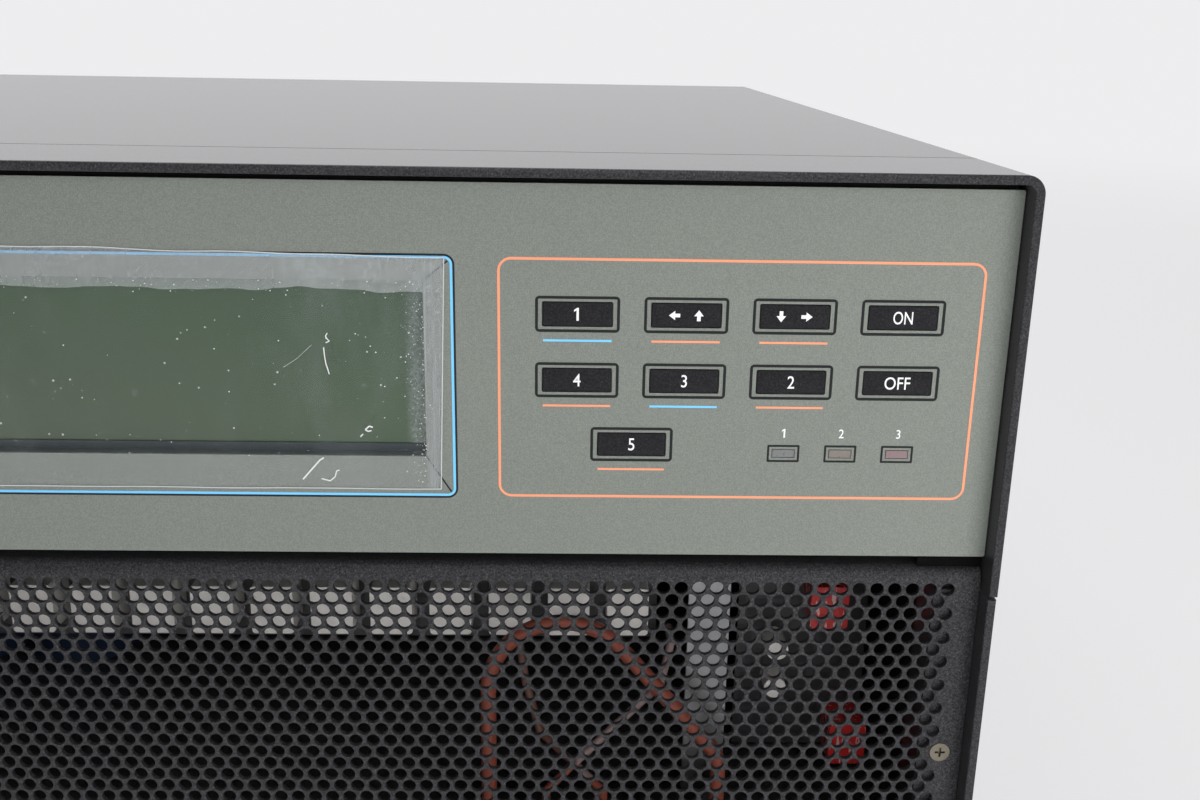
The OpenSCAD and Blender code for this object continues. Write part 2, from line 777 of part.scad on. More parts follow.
module power_rocker() color("#8e1f1c") in_case()
  translate([switch_x, rear_y - rocker_pivot, switch_z]) rotate([-rocker_tilt, 0, 0]) {
    rotate([90, 0, 90]) translate([0, 0, -rocker_w / 2]) linear_extrude(height = rocker_w)
      polygon([[-2.5, -6], [4, -rocker_h / 2], [8.5, -rocker_h / 2 + 0.6], [6.5, 0],
        [8.5, rocker_h / 2 - 0.6], [4, rocker_h / 2], [-2.5, 6]]);
    translate([-switch_body_w / 2 + 0.5, 0, 0]) rotate([0, 90, 0])
      cylinder(r = pivot_r, h = switch_body_w - 1);
  }

module ground_post() color("#c8a85a") in_case() {
  rod_y(ground_x, rear_face - 10, ground_z, ground_thread_d, 10 + rear_t + ground_l);
  for (y = [rear_face, rear_y + ground_nut_t]) translate([ground_x, y, ground_z]) rotate([90, 0, 0])
    cylinder(d = 11.5, h = ground_nut_t, $fn = 6);
}

// Fans, drawn with their centre on the Y axis and their inlet at y = 0

module fan_frame() {
  difference() {
    from_front(0, fan_d) difference() {
      rounded_rect(fan_w, fan_w, 4);
      circle(r = fan_bore_r);
      for (i = [-1, 1], j = [-1, 1]) translate([i, j] * fan_hole_pitch / 2)
        circle(r = pan_thread_d / 2 + screw_gap);
    }
    from_front(fan_back_t + 1, fan_d - 2 * fan_back_t - 2) for (a = [0:90:270])
      rotate(a) translate([fan_w / 2, 0]) square([8, fan_w * 0.62], center = true);
  }
  from_front(fan_d - fan_back_t, fan_back_t) difference() {
    union() {
      circle(r = fan_hub_r);
      for (a = [15:90:285]) rotate(a) translate([0, -2]) square([fan_bore_r + 1, 4]);
    }
    circle(r = fan_shaft_r + fan_shaft_gap);
  }
  from_front(fan_d - fan_back_t - 12, 12) difference() {
    circle(r = 12);
    circle(r = fan_shaft_r + fan_shaft_gap);
  }
}

module fan_rotor() {
  hub_l = fan_d - fan_back_t - 3;
  tip_r = fan_bore_r - fan_tip_gap;
  difference() {
    rod_y(0, 2, 0, 2 * fan_hub_r, hub_l);
    rod_y(0, 5, 0, 2 * fan_hub_r - 5, hub_l);
  }
  rod_y(0, 3, 0, 2 * fan_shaft_r, fan_d - fan_back_t);
  intersection() {
    for (i = [0:fan_blades - 1]) rotate([0, i * 360 / fan_blades, 0])
      translate([fan_hub_r - 1.5, 2 + hub_l / 2, 0]) rotate([52, 0, 0])
        translate([0, -0.9, -14]) cube([tip_r, 1.8, 28]);
    from_front(2.5, hub_l - 1) difference() {
      circle(r = tip_r);
      circle(r = fan_hub_r - 1);
    }
  }
}

module fan_frame_left() color("#1f1f21") in_case() translate([fan_offset[0], fan_y, fan_z]) fan_frame();
module fan_frame_right() color("#1f1f21") in_case() translate([fan_offset[1], fan_y, fan_z]) fan_frame();
module fan_rotor_left() color("#2a2a2d") in_case() translate([fan_offset[0], fan_y, fan_z]) fan_rotor();
module fan_rotor_right() color("#2a2a2d") in_case() translate([fan_offset[1], fan_y, fan_z]) fan_rotor();

// Wire guards: rings on two crossed bars, with an eye under each screw
module fan_guards() color("#c4c6c8") in_case() for (x = fan_offset) translate([x, rear_y, fan_z]) {
  ring_y = 1.3 * guard_wire;
  eye_r = fan_hole_pitch / 2 * sqrt(2);
  for (r = [12:10:fan_bore_r]) translate([0, ring_y, 0]) rotate([90, 0, 0])
    rotate_extrude() translate([r, 0]) circle(d = guard_wire);
  for (a = [45:90:315]) rotate([0, a, 0]) {
    translate([0, guard_wire / 2, 0]) rotate([0, 90, 0])
      translate([0, 0, 10]) cylinder(d = guard_wire, h = eye_r - 10 - pan_thread_d / 2 - guard_wire / 2);
    difference() {
      rod_y(eye_r, 0, 0, pan_thread_d + 2 * guard_wire + 1, guard_wire);
      rod_y(eye_r, -over, 0, pan_thread_d + 2 * screw_gap, guard_wire + 2 * over);
    }
  }
}

// Inside

module power_transformer() color("#c98a3a") in_case() translate([core_x, core_y, shell_t + core_pad])
  rotate_extrude() translate([(core_d + core_bore) / 4, core_h / 2])
    rounded_rect((core_d - core_bore) / 2, core_h, 12);

// Dished plate and pad on one bolt that holds the transformer to the floor
module transformer_clamp() color("#9a9da0") in_case() translate([core_x, core_y, 0]) {
  top = shell_t + core_pad + core_h;
  translate([0, 0, shell_t]) difference() {
    cylinder(d = clamp_d, h = core_pad);
    translate([0, 0, -over]) cylinder(d = core_bolt_d - 1, h = core_pad + 2 * over);
  }
  translate([0, 0, top]) cylinder(d = clamp_d, h = clamp_t);
  translate([0, 0, -3]) cylinder(d = core_bolt_d, h = top + clamp_t + 3 + 9);
  translate([0, 0, top + clamp_t]) cylinder(d = 15, h = 6.5, $fn = 6);
  translate([0, 0, -4]) cylinder(d = 15, h = 4, $fn = 6);
}

module heat_sink() color("#2b2c2f") in_case() from_front(sink_y, sink_l) translate([sink_x, sink_top]) {
  translate([-sink_w / 2, -sink_base]) square([sink_w, sink_base]);
  for (i = [0:fin_count - 1])
    translate([-sink_w / 2 + i * (sink_w - fin_t) / (fin_count - 1), -sink_base - fin_h])
      square([fin_t, fin_h + 1]);
}

// Power stage: board, four ceramic transistors and two ferrite transformers with their tubes
module power_board() color("#2f5a3f") in_case() translate([sink_x, sink_y + sink_l / 2, sink_top]) {
  translate([-amp_board_w / 2, -amp_board_l / 2, 0]) cube([amp_board_w, amp_board_l, board_t]);
  for (i = [-1.5:1.5]) translate([i * 28 - 10, -12, board_t]) cube([20, 24, 5]);
  for (y = [-50, 50]) difference() {
    translate([-22, y - 16, board_t]) cube([44, 32, 22]);
    for (x = [-10, 10]) translate([x, y - 16 - over, board_t + 11]) rotate([-90, 0, 0])
      cylinder(d = 9, h = 32 + 2 * over);
  }
}

// Board that hangs from the deck behind the relays, and the small one on the right
module relay_board() color("#27382f") in_case() {
  row_w = (relay_count - 1) * relay_pitch + relay_w + 6;
  from_front(relay_board_y, board_t) {
    translate([relay_x + 3 + relay_w / 2 - row_w, relay_z - 6]) square([row_w, deck_z - relay_z + 6]);
    translate([right_board_x, 18]) square([right_board_w - fit, deck_z - rail_t - fit - 18]);
    translate([right_board_x, deck_z - rail_t - 2 * fit])
      square([lower_half - ledge_w - fit - right_board_x, rail_t + 2 * fit]);
  }
}

// Bright metal cans in a row under the deck, and two trimmer cans on the small board
module relays() color("#cfd2d4") in_case() {
  for (i = [0:relay_count - 1]) from_front(relay_y, relay_d)
    translate([relay_x - i * relay_pitch, relay_z + relay_h / 2]) rounded_rect(relay_w, relay_h, 1);
  for (z = trimmer_z) rod_y(trimmer_x, relay_board_y - 8, z, 6, 8);
}

// Vertical aluminium angle between the floor and the deck
module stay_bracket() color("#d4d6d8") in_case() {
  translate([bracket_x, bracket_y, shell_t]) cube([bracket_w, bracket_t, deck_z - shell_t]);
  translate([bracket_x + bracket_w - bracket_t, bracket_y, shell_t])
    cube([bracket_t, 10, deck_z - shell_t]);
  translate([bracket_x, bracket_y, shell_t]) cube([bracket_w, 10, bracket_t]);
}

// Round rod between two points
module rod(a, b, d) {
  v = b - a;
  translate(a) rotate([0, acos(v[2] / norm(v)), atan2(v[1], v[0])]) cylinder(d = d, h = norm(v));
}

// Slightly larger balls where the stretches of a lead meet
module lead_joints(points, d) for (p = points) translate(p) sphere(d = joint_swell * d);

// Round lead through a row of points
module lead(points, d) {
  last = len(points) - 1;
  for (i = [1:last]) rod(points[i - 1], points[i], d);
  lead_joints([for (i = [1:last - 1]) points[i]], d);
}

module lead_arc(r, from, to) rotate([90, 0, 0]) rotate([0, 0, from])
  rotate_extrude(angle = to - from) translate([r, 0]) circle(d = lead_d);

// Thick lead that rises from one end of the terminal block, arches over and slopes down to the
// other end, and two thin ones that run up to the relay board
module arched_lead() color("#7d3328") in_case() translate([terminal_x, terminal_y, shell_t + terminal_h]) {
  top = lead_top - shell_t - terminal_h;
  arc = [lead_r - lead_span / 2, 0, top - lead_r];
  a = arc + lead_r * [cos(lead_slope), 0, sin(lead_slope)];
  fall = (lead_span / 2 - lead_end_r * (1 - cos(lead_slope)) - a[0]) / tan(lead_slope);
  b = a + fall * [tan(lead_slope), 0, -1];
  end_arc = b - lead_end_r * [cos(lead_slope), 0, sin(lead_slope)];
  rise = [-lead_span / 2, 0, arc[2]];
  drop = [lead_span / 2, 0, end_arc[2]];
  rod([rise[0], 0, 0], rise, lead_d);
  translate(arc) lead_arc(lead_r, lead_slope, 180);
  rod(a, b, lead_d);
  translate(end_arc) lead_arc(lead_end_r, 0, lead_slope);
  rod([drop[0], 0, 0], drop, lead_d);
  lead_joints([rise, a, b, drop], lead_d);
  board = [0, relay_board_y - terminal_y, relay_z - shell_t - terminal_h - 3];
  start = [-terminal_pitch, 0, 0];
  lead([start, start + [0, 0, 3], [-9, 3, 8], [15, 10, 29], [18, 16, board[2]], board + [18, 0, 0]], thin_lead_d);
  lead([[0, 0, 0], [0, 0, 3], [-17, 14, 12], [-21, 16, 26], [-23, 18, board[2]], board - [23, 0, 0]], thin_lead_d);
}

module terminal_block() color("#3b3b3e") in_case() translate([terminal_x, terminal_y, shell_t]) {
  base = [lead_span + 16, 14, terminal_h / 2];
  translate([-base[0] / 2, -base[1] / 2, 0]) cube(base);
  for (i = [-2:2]) translate([i * terminal_pitch - 5, -5, 0]) cube([10, 10, terminal_h]);
}

module film_capacitors() color("#c3262a") in_case() for (place = capacitor_places)
  from_front(relay_board_y - 12, 12) translate(place) rounded_rect(10, 12, 1);

module capacitor_bank() color("#2b3140") in_case() for (x = bank_x) translate([x, bank_y, shell_t]) {
  rotate_extrude() polygon([[0, 0], [bank_d / 2, 0], [bank_d / 2, bank_h - 1.5], [bank_d / 2 - 1.5, bank_h],
    [bank_d / 2 - 3, bank_h], [bank_d / 2 - 4, bank_h - 1], [0, bank_h - 1]]);
}

front_frame_upper();
front_frame_lower();
top_cover();
bottom_cover();
side_frame_left();
side_frame_right();
mid_deck();
front_plate();
panel_foil();
display_film();
lcd_glass();
lcd_module();
key_boards();
status_leds();
front_grille();
case_screws();
feet();
rear_panel();
antenna_sockets();
signal_sockets();
control_sockets();
cable_gland();
power_switch();
power_rocker();
ground_post();
fan_frame_left();
fan_frame_right();
fan_rotor_left();
fan_rotor_right();
fan_guards();
power_transformer();
transformer_clamp();
heat_sink();
power_board();
relay_board();
relays();
stay_bracket();
arched_lead();
terminal_block();
film_capacitors();
capacitor_bank();
for (side = [0:1], i = [0:KEYS_PER_SIDE - 1]) key(side, i);
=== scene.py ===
import json
import math
import random

import bmesh
import bpy
from mathutils import Matrix, Vector, noise


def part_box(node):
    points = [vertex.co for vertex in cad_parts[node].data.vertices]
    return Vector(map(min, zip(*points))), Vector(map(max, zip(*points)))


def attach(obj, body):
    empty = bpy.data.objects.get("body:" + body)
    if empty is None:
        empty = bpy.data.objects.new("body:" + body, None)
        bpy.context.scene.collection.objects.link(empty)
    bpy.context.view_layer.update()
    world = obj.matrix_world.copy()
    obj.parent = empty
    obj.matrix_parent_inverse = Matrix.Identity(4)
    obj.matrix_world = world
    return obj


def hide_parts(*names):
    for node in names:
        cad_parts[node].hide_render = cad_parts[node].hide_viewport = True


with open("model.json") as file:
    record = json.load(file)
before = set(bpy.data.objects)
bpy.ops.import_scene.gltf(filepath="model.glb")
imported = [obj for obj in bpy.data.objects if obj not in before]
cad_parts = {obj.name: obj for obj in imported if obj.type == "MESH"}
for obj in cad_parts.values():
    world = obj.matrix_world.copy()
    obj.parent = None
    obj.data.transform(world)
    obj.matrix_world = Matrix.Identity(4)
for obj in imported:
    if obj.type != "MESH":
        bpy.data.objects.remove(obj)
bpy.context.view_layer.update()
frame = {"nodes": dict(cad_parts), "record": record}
mm = 0.001
sharpAngle = math.radians(35)  # steeper edges stay sharp where faces are shaded smooth

# Places that everything else is measured from, taken from the frame
frameLow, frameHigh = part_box("front_frame_upper")
caseTop, caseRight = frameHigh.z, frameHigh.x
foilFace, foilBack = (corner.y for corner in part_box("panel_foil"))
print("frame loaded:", len(frame["nodes"]), "nodes")


def spot(inward, down):  # a place on the front, in mm from the right side and from the top
    return caseRight - inward * mm, caseTop - down * mm


def mirrored(inward):  # the same place on the left half
    return 2 * caseRight / mm - inward


# The camera, solved from the straight edges of the case; angles in radians
camera = {
    "place": (105.25, -470.7, 224.4),  # mm
    "lens": 36.77,
    "sensor": 36.0,
    "nearest": 0.01,  # m
    "yaw": -0.025314,
    "pitchDown": 0.289696,
    "roll": 0.017501,
}
lensData = bpy.data.cameras.new("photoCamera")
lensData.lens, lensData.sensor_width = camera["lens"], camera["sensor"]
lensData.clip_start = camera["nearest"]
photoCamera = bpy.data.objects.new("photoCamera", lensData)
bpy.context.scene.collection.objects.link(photoCamera)
photoCamera.matrix_world = (
    Matrix.Translation(Vector(camera["place"]) * mm)
    @ Matrix.Rotation(camera["yaw"], 4, "Z")
    @ Matrix.Rotation(math.pi / 2 - camera["pitchDown"], 4, "X")
    @ Matrix.Rotation(camera["roll"], 4, "Z")
)
bpy.context.scene.camera = photoCamera


class Field:  # one socket of a node tree, used in plain sums
    def __init__(self, tree, socket=None):
        self.tree, self.socket = tree, socket

    def node(self, kind, settings=None, values=None, out=0):
        made = self.tree.nodes.new("ShaderNode" + kind)
        for key, value in (settings or {}).items():
            setattr(made, key, value)
        for key, value in (values or {}).items():
            if isinstance(value, Field):
                self.tree.links.new(value.socket, made.inputs[key])
            else:
                made.inputs[key].default_value = value
        return Field(self.tree, made.outputs[out])

    def maths(self, operation, *values):
        return self.node("Math", {"operation": operation}, dict(enumerate(values)))

    def __add__(self, other): return self.maths("ADD", self, other)
    def __radd__(self, other): return self.maths("ADD", other, self)
    def __sub__(self, other): return self.maths("SUBTRACT", self, other)
    def __rsub__(self, other): return self.maths("SUBTRACT", other, self)
    def __mul__(self, other): return self.maths("MULTIPLY", self, other)
    def __rmul__(self, other): return self.maths("MULTIPLY", other, self)
    def __truediv__(self, other): return self.maths("DIVIDE", self, other)
    def __gt__(self, other): return self.maths("GREATER_THAN", self, other)
    def __lt__(self, other): return self.maths("LESS_THAN", self, other)

    def soft(self, low, high):  # 0 below low, 1 above high
        smooth = {"interpolation_type": "SMOOTHSTEP"}
        return self.node("MapRange", smooth, {0: self, 1: low, 2: high})

    def mix(self, low, high):  # a colour from low to high
        return self.node("Mix", {"data_type": "RGBA"}, {0: self, 6: low, 7: high}, 2)

    def into(self, name):
        self.tree.links.new(self.socket, self.tree.nodes["Principled BSDF"].inputs[name])


def rgb(red, green, blue):
    return (red, green, blue, 1.0)


def tone(colour, factor):
    return rgb(*[min(1.0, channel * factor) for channel in colour[:3]])

def between(mask, base, tones):  # the base colour, from the darker to the lighter tone
    return mask.mix(tone(base, tones[0]), tone(base, tones[1]))


def newMaterial(name, **constants):
    made = bpy.data.materials.new(name)
    made.use_nodes = True
    shader = made.node_tree.nodes["Principled BSDF"]
    for key, value in constants.items():
        shader.inputs[key.replace("_", " ")].default_value = value
    return made, Field(made.node_tree)


def places(field):  # the point on the object, in metres of the row frame
    return field.node("TexCoord", out=3)


def axes(field):
    split = places(field)
    return [split.node("SeparateXYZ", values={0: split}, out=index) for index in range(3)]


def grain(field, scale, detail=2.0, rough=0.5, stretch=None):
    where = places(field)
    if stretch:
        where = field.node("Mapping", values={0: where, 3: stretch})
    values = {"Vector": where, "Scale": scale, "Detail": detail, "Roughness": rough}
    return field.node("TexNoise", values=values)


edgeSamples = 4  # rays that find the edges to be softened


def relief(field, height, distance, strength=1.0, edge=0.0):
    values = {"Height": height, "Distance": distance, "Strength": strength}
    if edge:
        values["Normal"] = field.node("Bevel", {"samples": edgeSamples}, {"Radius": edge})
    field.node("Bump", values=values).into("Normal")


# The finishes. Scales are in grains per metre, tones are factors of the base colour,
# and lengths are in mm.
powder = {
    "grain": 0.45,
    "relief": 0.03,
    "edge": 0.25,
    "roughness": 0.36,
    "cloudScale": 14.0,
    "tones": (0.35, 1.6),  # pits and grains
    # painted glints: paint specks lifted to this many times the base colour, standing in for
    # sparkles of light
    "paintedGlint": 4.5,
    "paintedGlintShare": 0.4,
    "coat": (0.15, 0.65),  # all over, and more on the top, which is wiped smooth
    "topBand": 0.8,
}


def powderCoat(name, base, size=powder["grain"], depth=powder["relief"],
               roughness=powder["roughness"], gloss=1.0):
    made, field = newMaterial(name, IOR=1.3, Coat_IOR=1.32, Coat_Roughness=0.2)
    pebbles = grain(field, 1 / (size * mm), 2.0, 0.6)
    cloud = grain(field, powder["cloudScale"], 3.0)
    # painted glints: bright specks in the base colour that stand in for sparkles of light on the
    # paint
    paintedGlint = grain(field, 1.3 / (size * mm), 1.0).soft(0.58, 0.68)
    coat = between(pebbles.soft(0.32, 0.68) * 0.85 + cloud * 0.15, base, powder["tones"])
    (paintedGlint * powder["paintedGlintShare"]).mix(coat, tone(base, powder["paintedGlint"])).into("Base Color")
    flat = axes(field)[2] > caseTop - powder["topBand"] * mm
    dull, wiped = powder["coat"]
    ((flat * wiped + dull) * gloss).into("Coat Weight")
    (pebbles * 0.2 + (roughness - 0.1)).into("Roughness")
    relief(field, pebbles, depth * mm, 1.0, powder["edge"] * mm)
    return made


foil = {
    "scales": (2900.0, 4600.0, 11.0),  # worm-like ridges, speckle, slow cloud
    "shares": (0.55, 0.3, 0.15),  # of each in the colour
    "wormWidth": 0.16,
    "tones": (0.7, 1.26),
    "relief": 0.008,
}


def satinFoil(name, base):
    made, field = newMaterial(name, Specular_IOR_Level=0.45)
    wormScale, speckleScale, slowScale = foil["scales"]
    worms = field.maths("ABSOLUTE", grain(field, wormScale, 1.0, 0.5) - 0.5)
    worms = worms.soft(0.0, foil["wormWidth"])
    speckle = grain(field, speckleScale, 1.0)
    slow = grain(field, slowScale, 2.0)
    ofWorms, ofSpeckle, ofSlow = foil["shares"]
    tint = worms * ofWorms + speckle * ofSpeckle + slow * ofSlow
    between(tint, base, foil["tones"]).into("Base Color")
    (0.5 - speckle * 0.14).into("Roughness")
    relief(field, worms, foil["relief"] * mm, 0.6)
    return made


plastic = {"fineScale": 2600.0, "slowScale": 60.0, "tones": (0.82, 1.18), "relief": 0.008,
           "edge": 0.15}


def plainPlastic(name, base, roughness, depth=plastic["relief"]):
    made, field = newMaterial(name, Specular_IOR_Level=0.5)
    fine = grain(field, plastic["fineScale"], 2.0)
    slow = grain(field, plastic["slowScale"], 2.0)
    between(fine * 0.5 + slow * 0.5, base, plastic["tones"]).into("Base Color")
    (slow * 0.1 + (roughness - 0.05)).into("Roughness")
    relief(field, fine, depth * mm, 0.8, plastic["edge"] * mm)
    return made


metal = {"lineScale": 1800.0, "patchScale": 45.0, "relief": 0.004}


def bareMetal(name, base, roughness, brushed=(1.0, 1.0, 1.0), edge=0.2, stain=0.12):
    made, field = newMaterial(name, Metallic=1.0)
    lines = grain(field, metal["lineScale"], 3.0, 0.6, brushed)
    patches = grain(field, metal["patchScale"], 4.0)
    between(patches, base, (1 - stain, 1 + stain)).into("Base Color")
    (lines * 0.22 + patches * 0.12 + (roughness - 0.17)).into("Roughness")
    relief(field, lines, metal["relief"] * mm, 0.6, edge * mm)
    return made


rubber = {"dustScale": 320.0, "dustTone": 2.4, "relief": 0.02, "edge": 0.4}


def rubberBlack(name, base, specular=0.3):
    made, field = newMaterial(name, Specular_IOR_Level=specular)
    dust = grain(field, rubber["dustScale"], 5.0, 0.7)
    dust.soft(0.5, 0.8).mix(base, tone(base, rubber["dustTone"])).into("Base Color")
    (dust * 0.2 + 0.6).into("Roughness")
    relief(field, dust, rubber["relief"] * mm, 0.8, rubber["edge"] * mm)
    return made


circuit = {"trackScale": 170.0, "mottleScale": 500.0, "tones": (0.8, 1.25), "trackTone": 1.7,
           "relief": 0.03}


def circuitBoard(name, base):
    made, field = newMaterial(name, Specular_IOR_Level=0.5)
    values = {"Vector": places(field), "Scale": circuit["trackScale"]}
    tracks = field.node("TexVoronoi", {"distance": "CHEBYCHEV"}, values).soft(0.42, 0.46)
    mottled = grain(field, circuit["mottleScale"], 3.0)
    ground = between(mottled, base, circuit["tones"])
    tracks.mix(ground, tone(base, circuit["trackTone"])).into("Base Color")
    (0.4 - tracks * 0.1).into("Roughness")
    relief(field, tracks + mottled * 0.1, circuit["relief"] * mm, 0.5)
    return made


# gapShade: how dark the painted shade between the turns of wire is
winding = {"turns": 160.0, "gapShade": 0.45, "ageScale": 90.0, "tapeShare": 0.6, "relief": 0.12}


def copperWinding(name, copper, tape):
    made, field = newMaterial(name, Metallic=0.6)
    east, north, _ = axes(field)
    low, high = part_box("power_transformer")
    middle = (low + high) / 2
    turn = field.maths("ARCTAN2", north - middle.y, east - middle.x)
    wires = field.maths("SINE", turn * winding["turns"])
    age = grain(field, winding["ageScale"], 3.0)
    # each turn runs from bright copper to dark between the turns: painted shade of the round wires
    strands = (wires * 0.5 + 0.5).mix(tone(copper, winding["gapShade"]), copper)
    (age * winding["tapeShare"]).mix(strands, tape).into("Base Color")
    (age * 0.3 + 0.25).into("Roughness")
    relief(field, wires, winding["relief"] * mm, 0.8)
    return made


display = {
    "half": 71.0,  # of the lit field's width
    "haze": (-1.6, 1.3),  # the dusty strip beside it starts and is full here, from its edge
    # the greens at the left and the right end, from below to above; darker above: painted shade
    "left": (rgb(0.058, 0.082, 0.048), rgb(0.038, 0.074, 0.036)),  # from below to above
    "right": (rgb(0.042, 0.08, 0.036), rgb(0.034, 0.07, 0.034)),
    "cloud": rgb(0.06, 0.08, 0.06),
    "cloudScale": 22.0,
    # the dusty strip, from below to above, is darker above too: painted shade
    "dusty": (rgb(0.2, 0.24, 0.22), rgb(0.15, 0.19, 0.17)),
    "dustScale": 1500.0,
}


def displayGreen(name):
    made, field = newMaterial(name, Specular_IOR_Level=0.5, Coat_Weight=0.3,
                              Coat_Roughness=0.04)
    low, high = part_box("lcd_glass")
    east, _, up = axes(field)
    across = ((east - low.x) / (high.x - low.x)).soft(0.45, 1.0)
    shadeUpward = ((up - low.z) / (high.z - low.z)).soft(0.0, 0.9)
    cloud = grain(field, display["cloudScale"], 2.0)
    # the green darkens towards the top: painted shade; its tint also changes from left to right
    shadedGreen = across.mix(shadeUpward.mix(*display["left"]), shadeUpward.mix(*display["right"]))
    tinted = (cloud * 0.25).mix(shadedGreen, display["cloud"])
    dust = grain(field, display["dustScale"], 2.0).soft(0.35, 0.65) * 0.5 + 0.5
    start, full = (display["half"] * mm + reach * mm for reach in display["haze"])
    margin = field.maths("ABSOLUTE", east).soft(start, full) * dust
    margin.mix(tinted, shadeUpward.mix(*display["dusty"])).into("Base Color")
    (cloud * 0.1 + 0.14).into("Roughness")
    return made


lens = {
    "turns": (42.4, 30.1),  # from the case's side: grey turns to amber, amber to rose
    "tints": (rgb(0.14, 0.145, 0.15), rgb(0.17, 0.135, 0.11), rgb(0.21, 0.125, 0.135)),
    "cloud": rgb(0.22, 0.22, 0.22),
    "cloudScale": 700.0,
}


def lampLens(name):
    made, field = newMaterial(name, Specular_IOR_Level=0.5, Coat_Weight=0.3)
    away = field.maths("ABSOLUTE", axes(field)[0])
    first, second = (caseRight - inward * mm for inward in lens["turns"])
    grey, amber, rose = lens["tints"]
    tint = (away > second).mix((away > first).mix(grey, amber), rose)
    cloud = grain(field, lens["cloudScale"], 2.0)
    (cloud * 0.4).mix(tint, lens["cloud"]).into("Base Color")
    (cloud * 0.2 + 0.2).into("Roughness")
    return made


sheath = {  # the thick lead lies in one plane, the two thin ones leave it
    "radius": 2.0,
    "reach": 2.25,  # past this the lead is a thin one
    "right": 108.0,  # where the right-hand thin one starts
    "worn": rgb(0.12, 0.06, 0.05),
    "fineScale": 900.0,
    "relief": 0.01,
}


def leadSheath(name, thick, thin, shadedThin):
    made, field = newMaterial(name, Specular_IOR_Level=0.5)
    east, north, _ = axes(field)
    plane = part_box("arched_lead")[0].y + sheath["radius"] * mm
    beyond = (north - plane) > sheath["reach"] * mm
    fine = grain(field, sheath["fineScale"], 3.0)
    # the left-hand thin lead is painted darker than the right-hand one: painted shade
    other = (east > sheath["right"] * mm).mix(shadedThin, thin)
    (fine * 0.35).mix(beyond.mix(thick, other), sheath["worn"]).into("Base Color")
    (fine * 0.2 + 0.3).into("Roughness")
    relief(field, fine, sheath["relief"] * mm, 0.6)
    return made


capacitor = {"streakScale": 420.0, "fineScale": 150.0, "tones": (0.8, 1.15),
             "worn": rgb(0.8, 0.72, 0.7)}


def filmCapacitor(name, base):  # a glossy red case with pale worn marks
    made, field = newMaterial(name, Specular_IOR_Level=0.5, Coat_Weight=0.3,
                              Coat_Roughness=0.1)
    streak = grain(field, capacitor["streakScale"], 2.0, 0.5, (2.0, 2.0, 0.5))
    fine = grain(field, capacitor["fineScale"], 2.0)
    red = between(fine, base, capacitor["tones"])
    (streak.soft(0.6, 0.66) * 0.7).mix(red, capacitor["worn"]).into("Base Color")
    (fine * 0.15 + 0.2).into("Roughness")
    return made


plate = {"patchScale": 60.0, "lineScale": 1500.0, "tones": (0.88, 1.1), "roughness": 0.42,
         "relief": 0.006, "edge": 0.3}


def tinPlate(name, base):  # plated sheet, dulled
    made, field = newMaterial(name, Metallic=0.2, Specular_IOR_Level=0.6)
    patches = grain(field, plate["patchScale"], 4.0)
    lines = grain(field, plate["lineScale"], 2.0, 0.5, (1.0, 1.0, 0.1))
    between(patches, base, plate["tones"]).into("Base Color")
    (lines * 0.2 + patches * 0.1 + (plate["roughness"] - 0.15)).into("Roughness")
    relief(field, lines, plate["relief"] * mm, 0.6, plate["edge"] * mm)
    return made


ink = {"speckleScale": 5000.0, "tones": (0.93, 1.05)}


def printInk(name, base, roughness=0.5):
    made, field = newMaterial(name, Specular_IOR_Level=0.3)
    speckle = grain(field, ink["speckleScale"], 2.0)
    between(speckle, base, ink["tones"]).into("Base Color")
    (speckle * 0.1 + (roughness - 0.05)).into("Roughness")
    return made


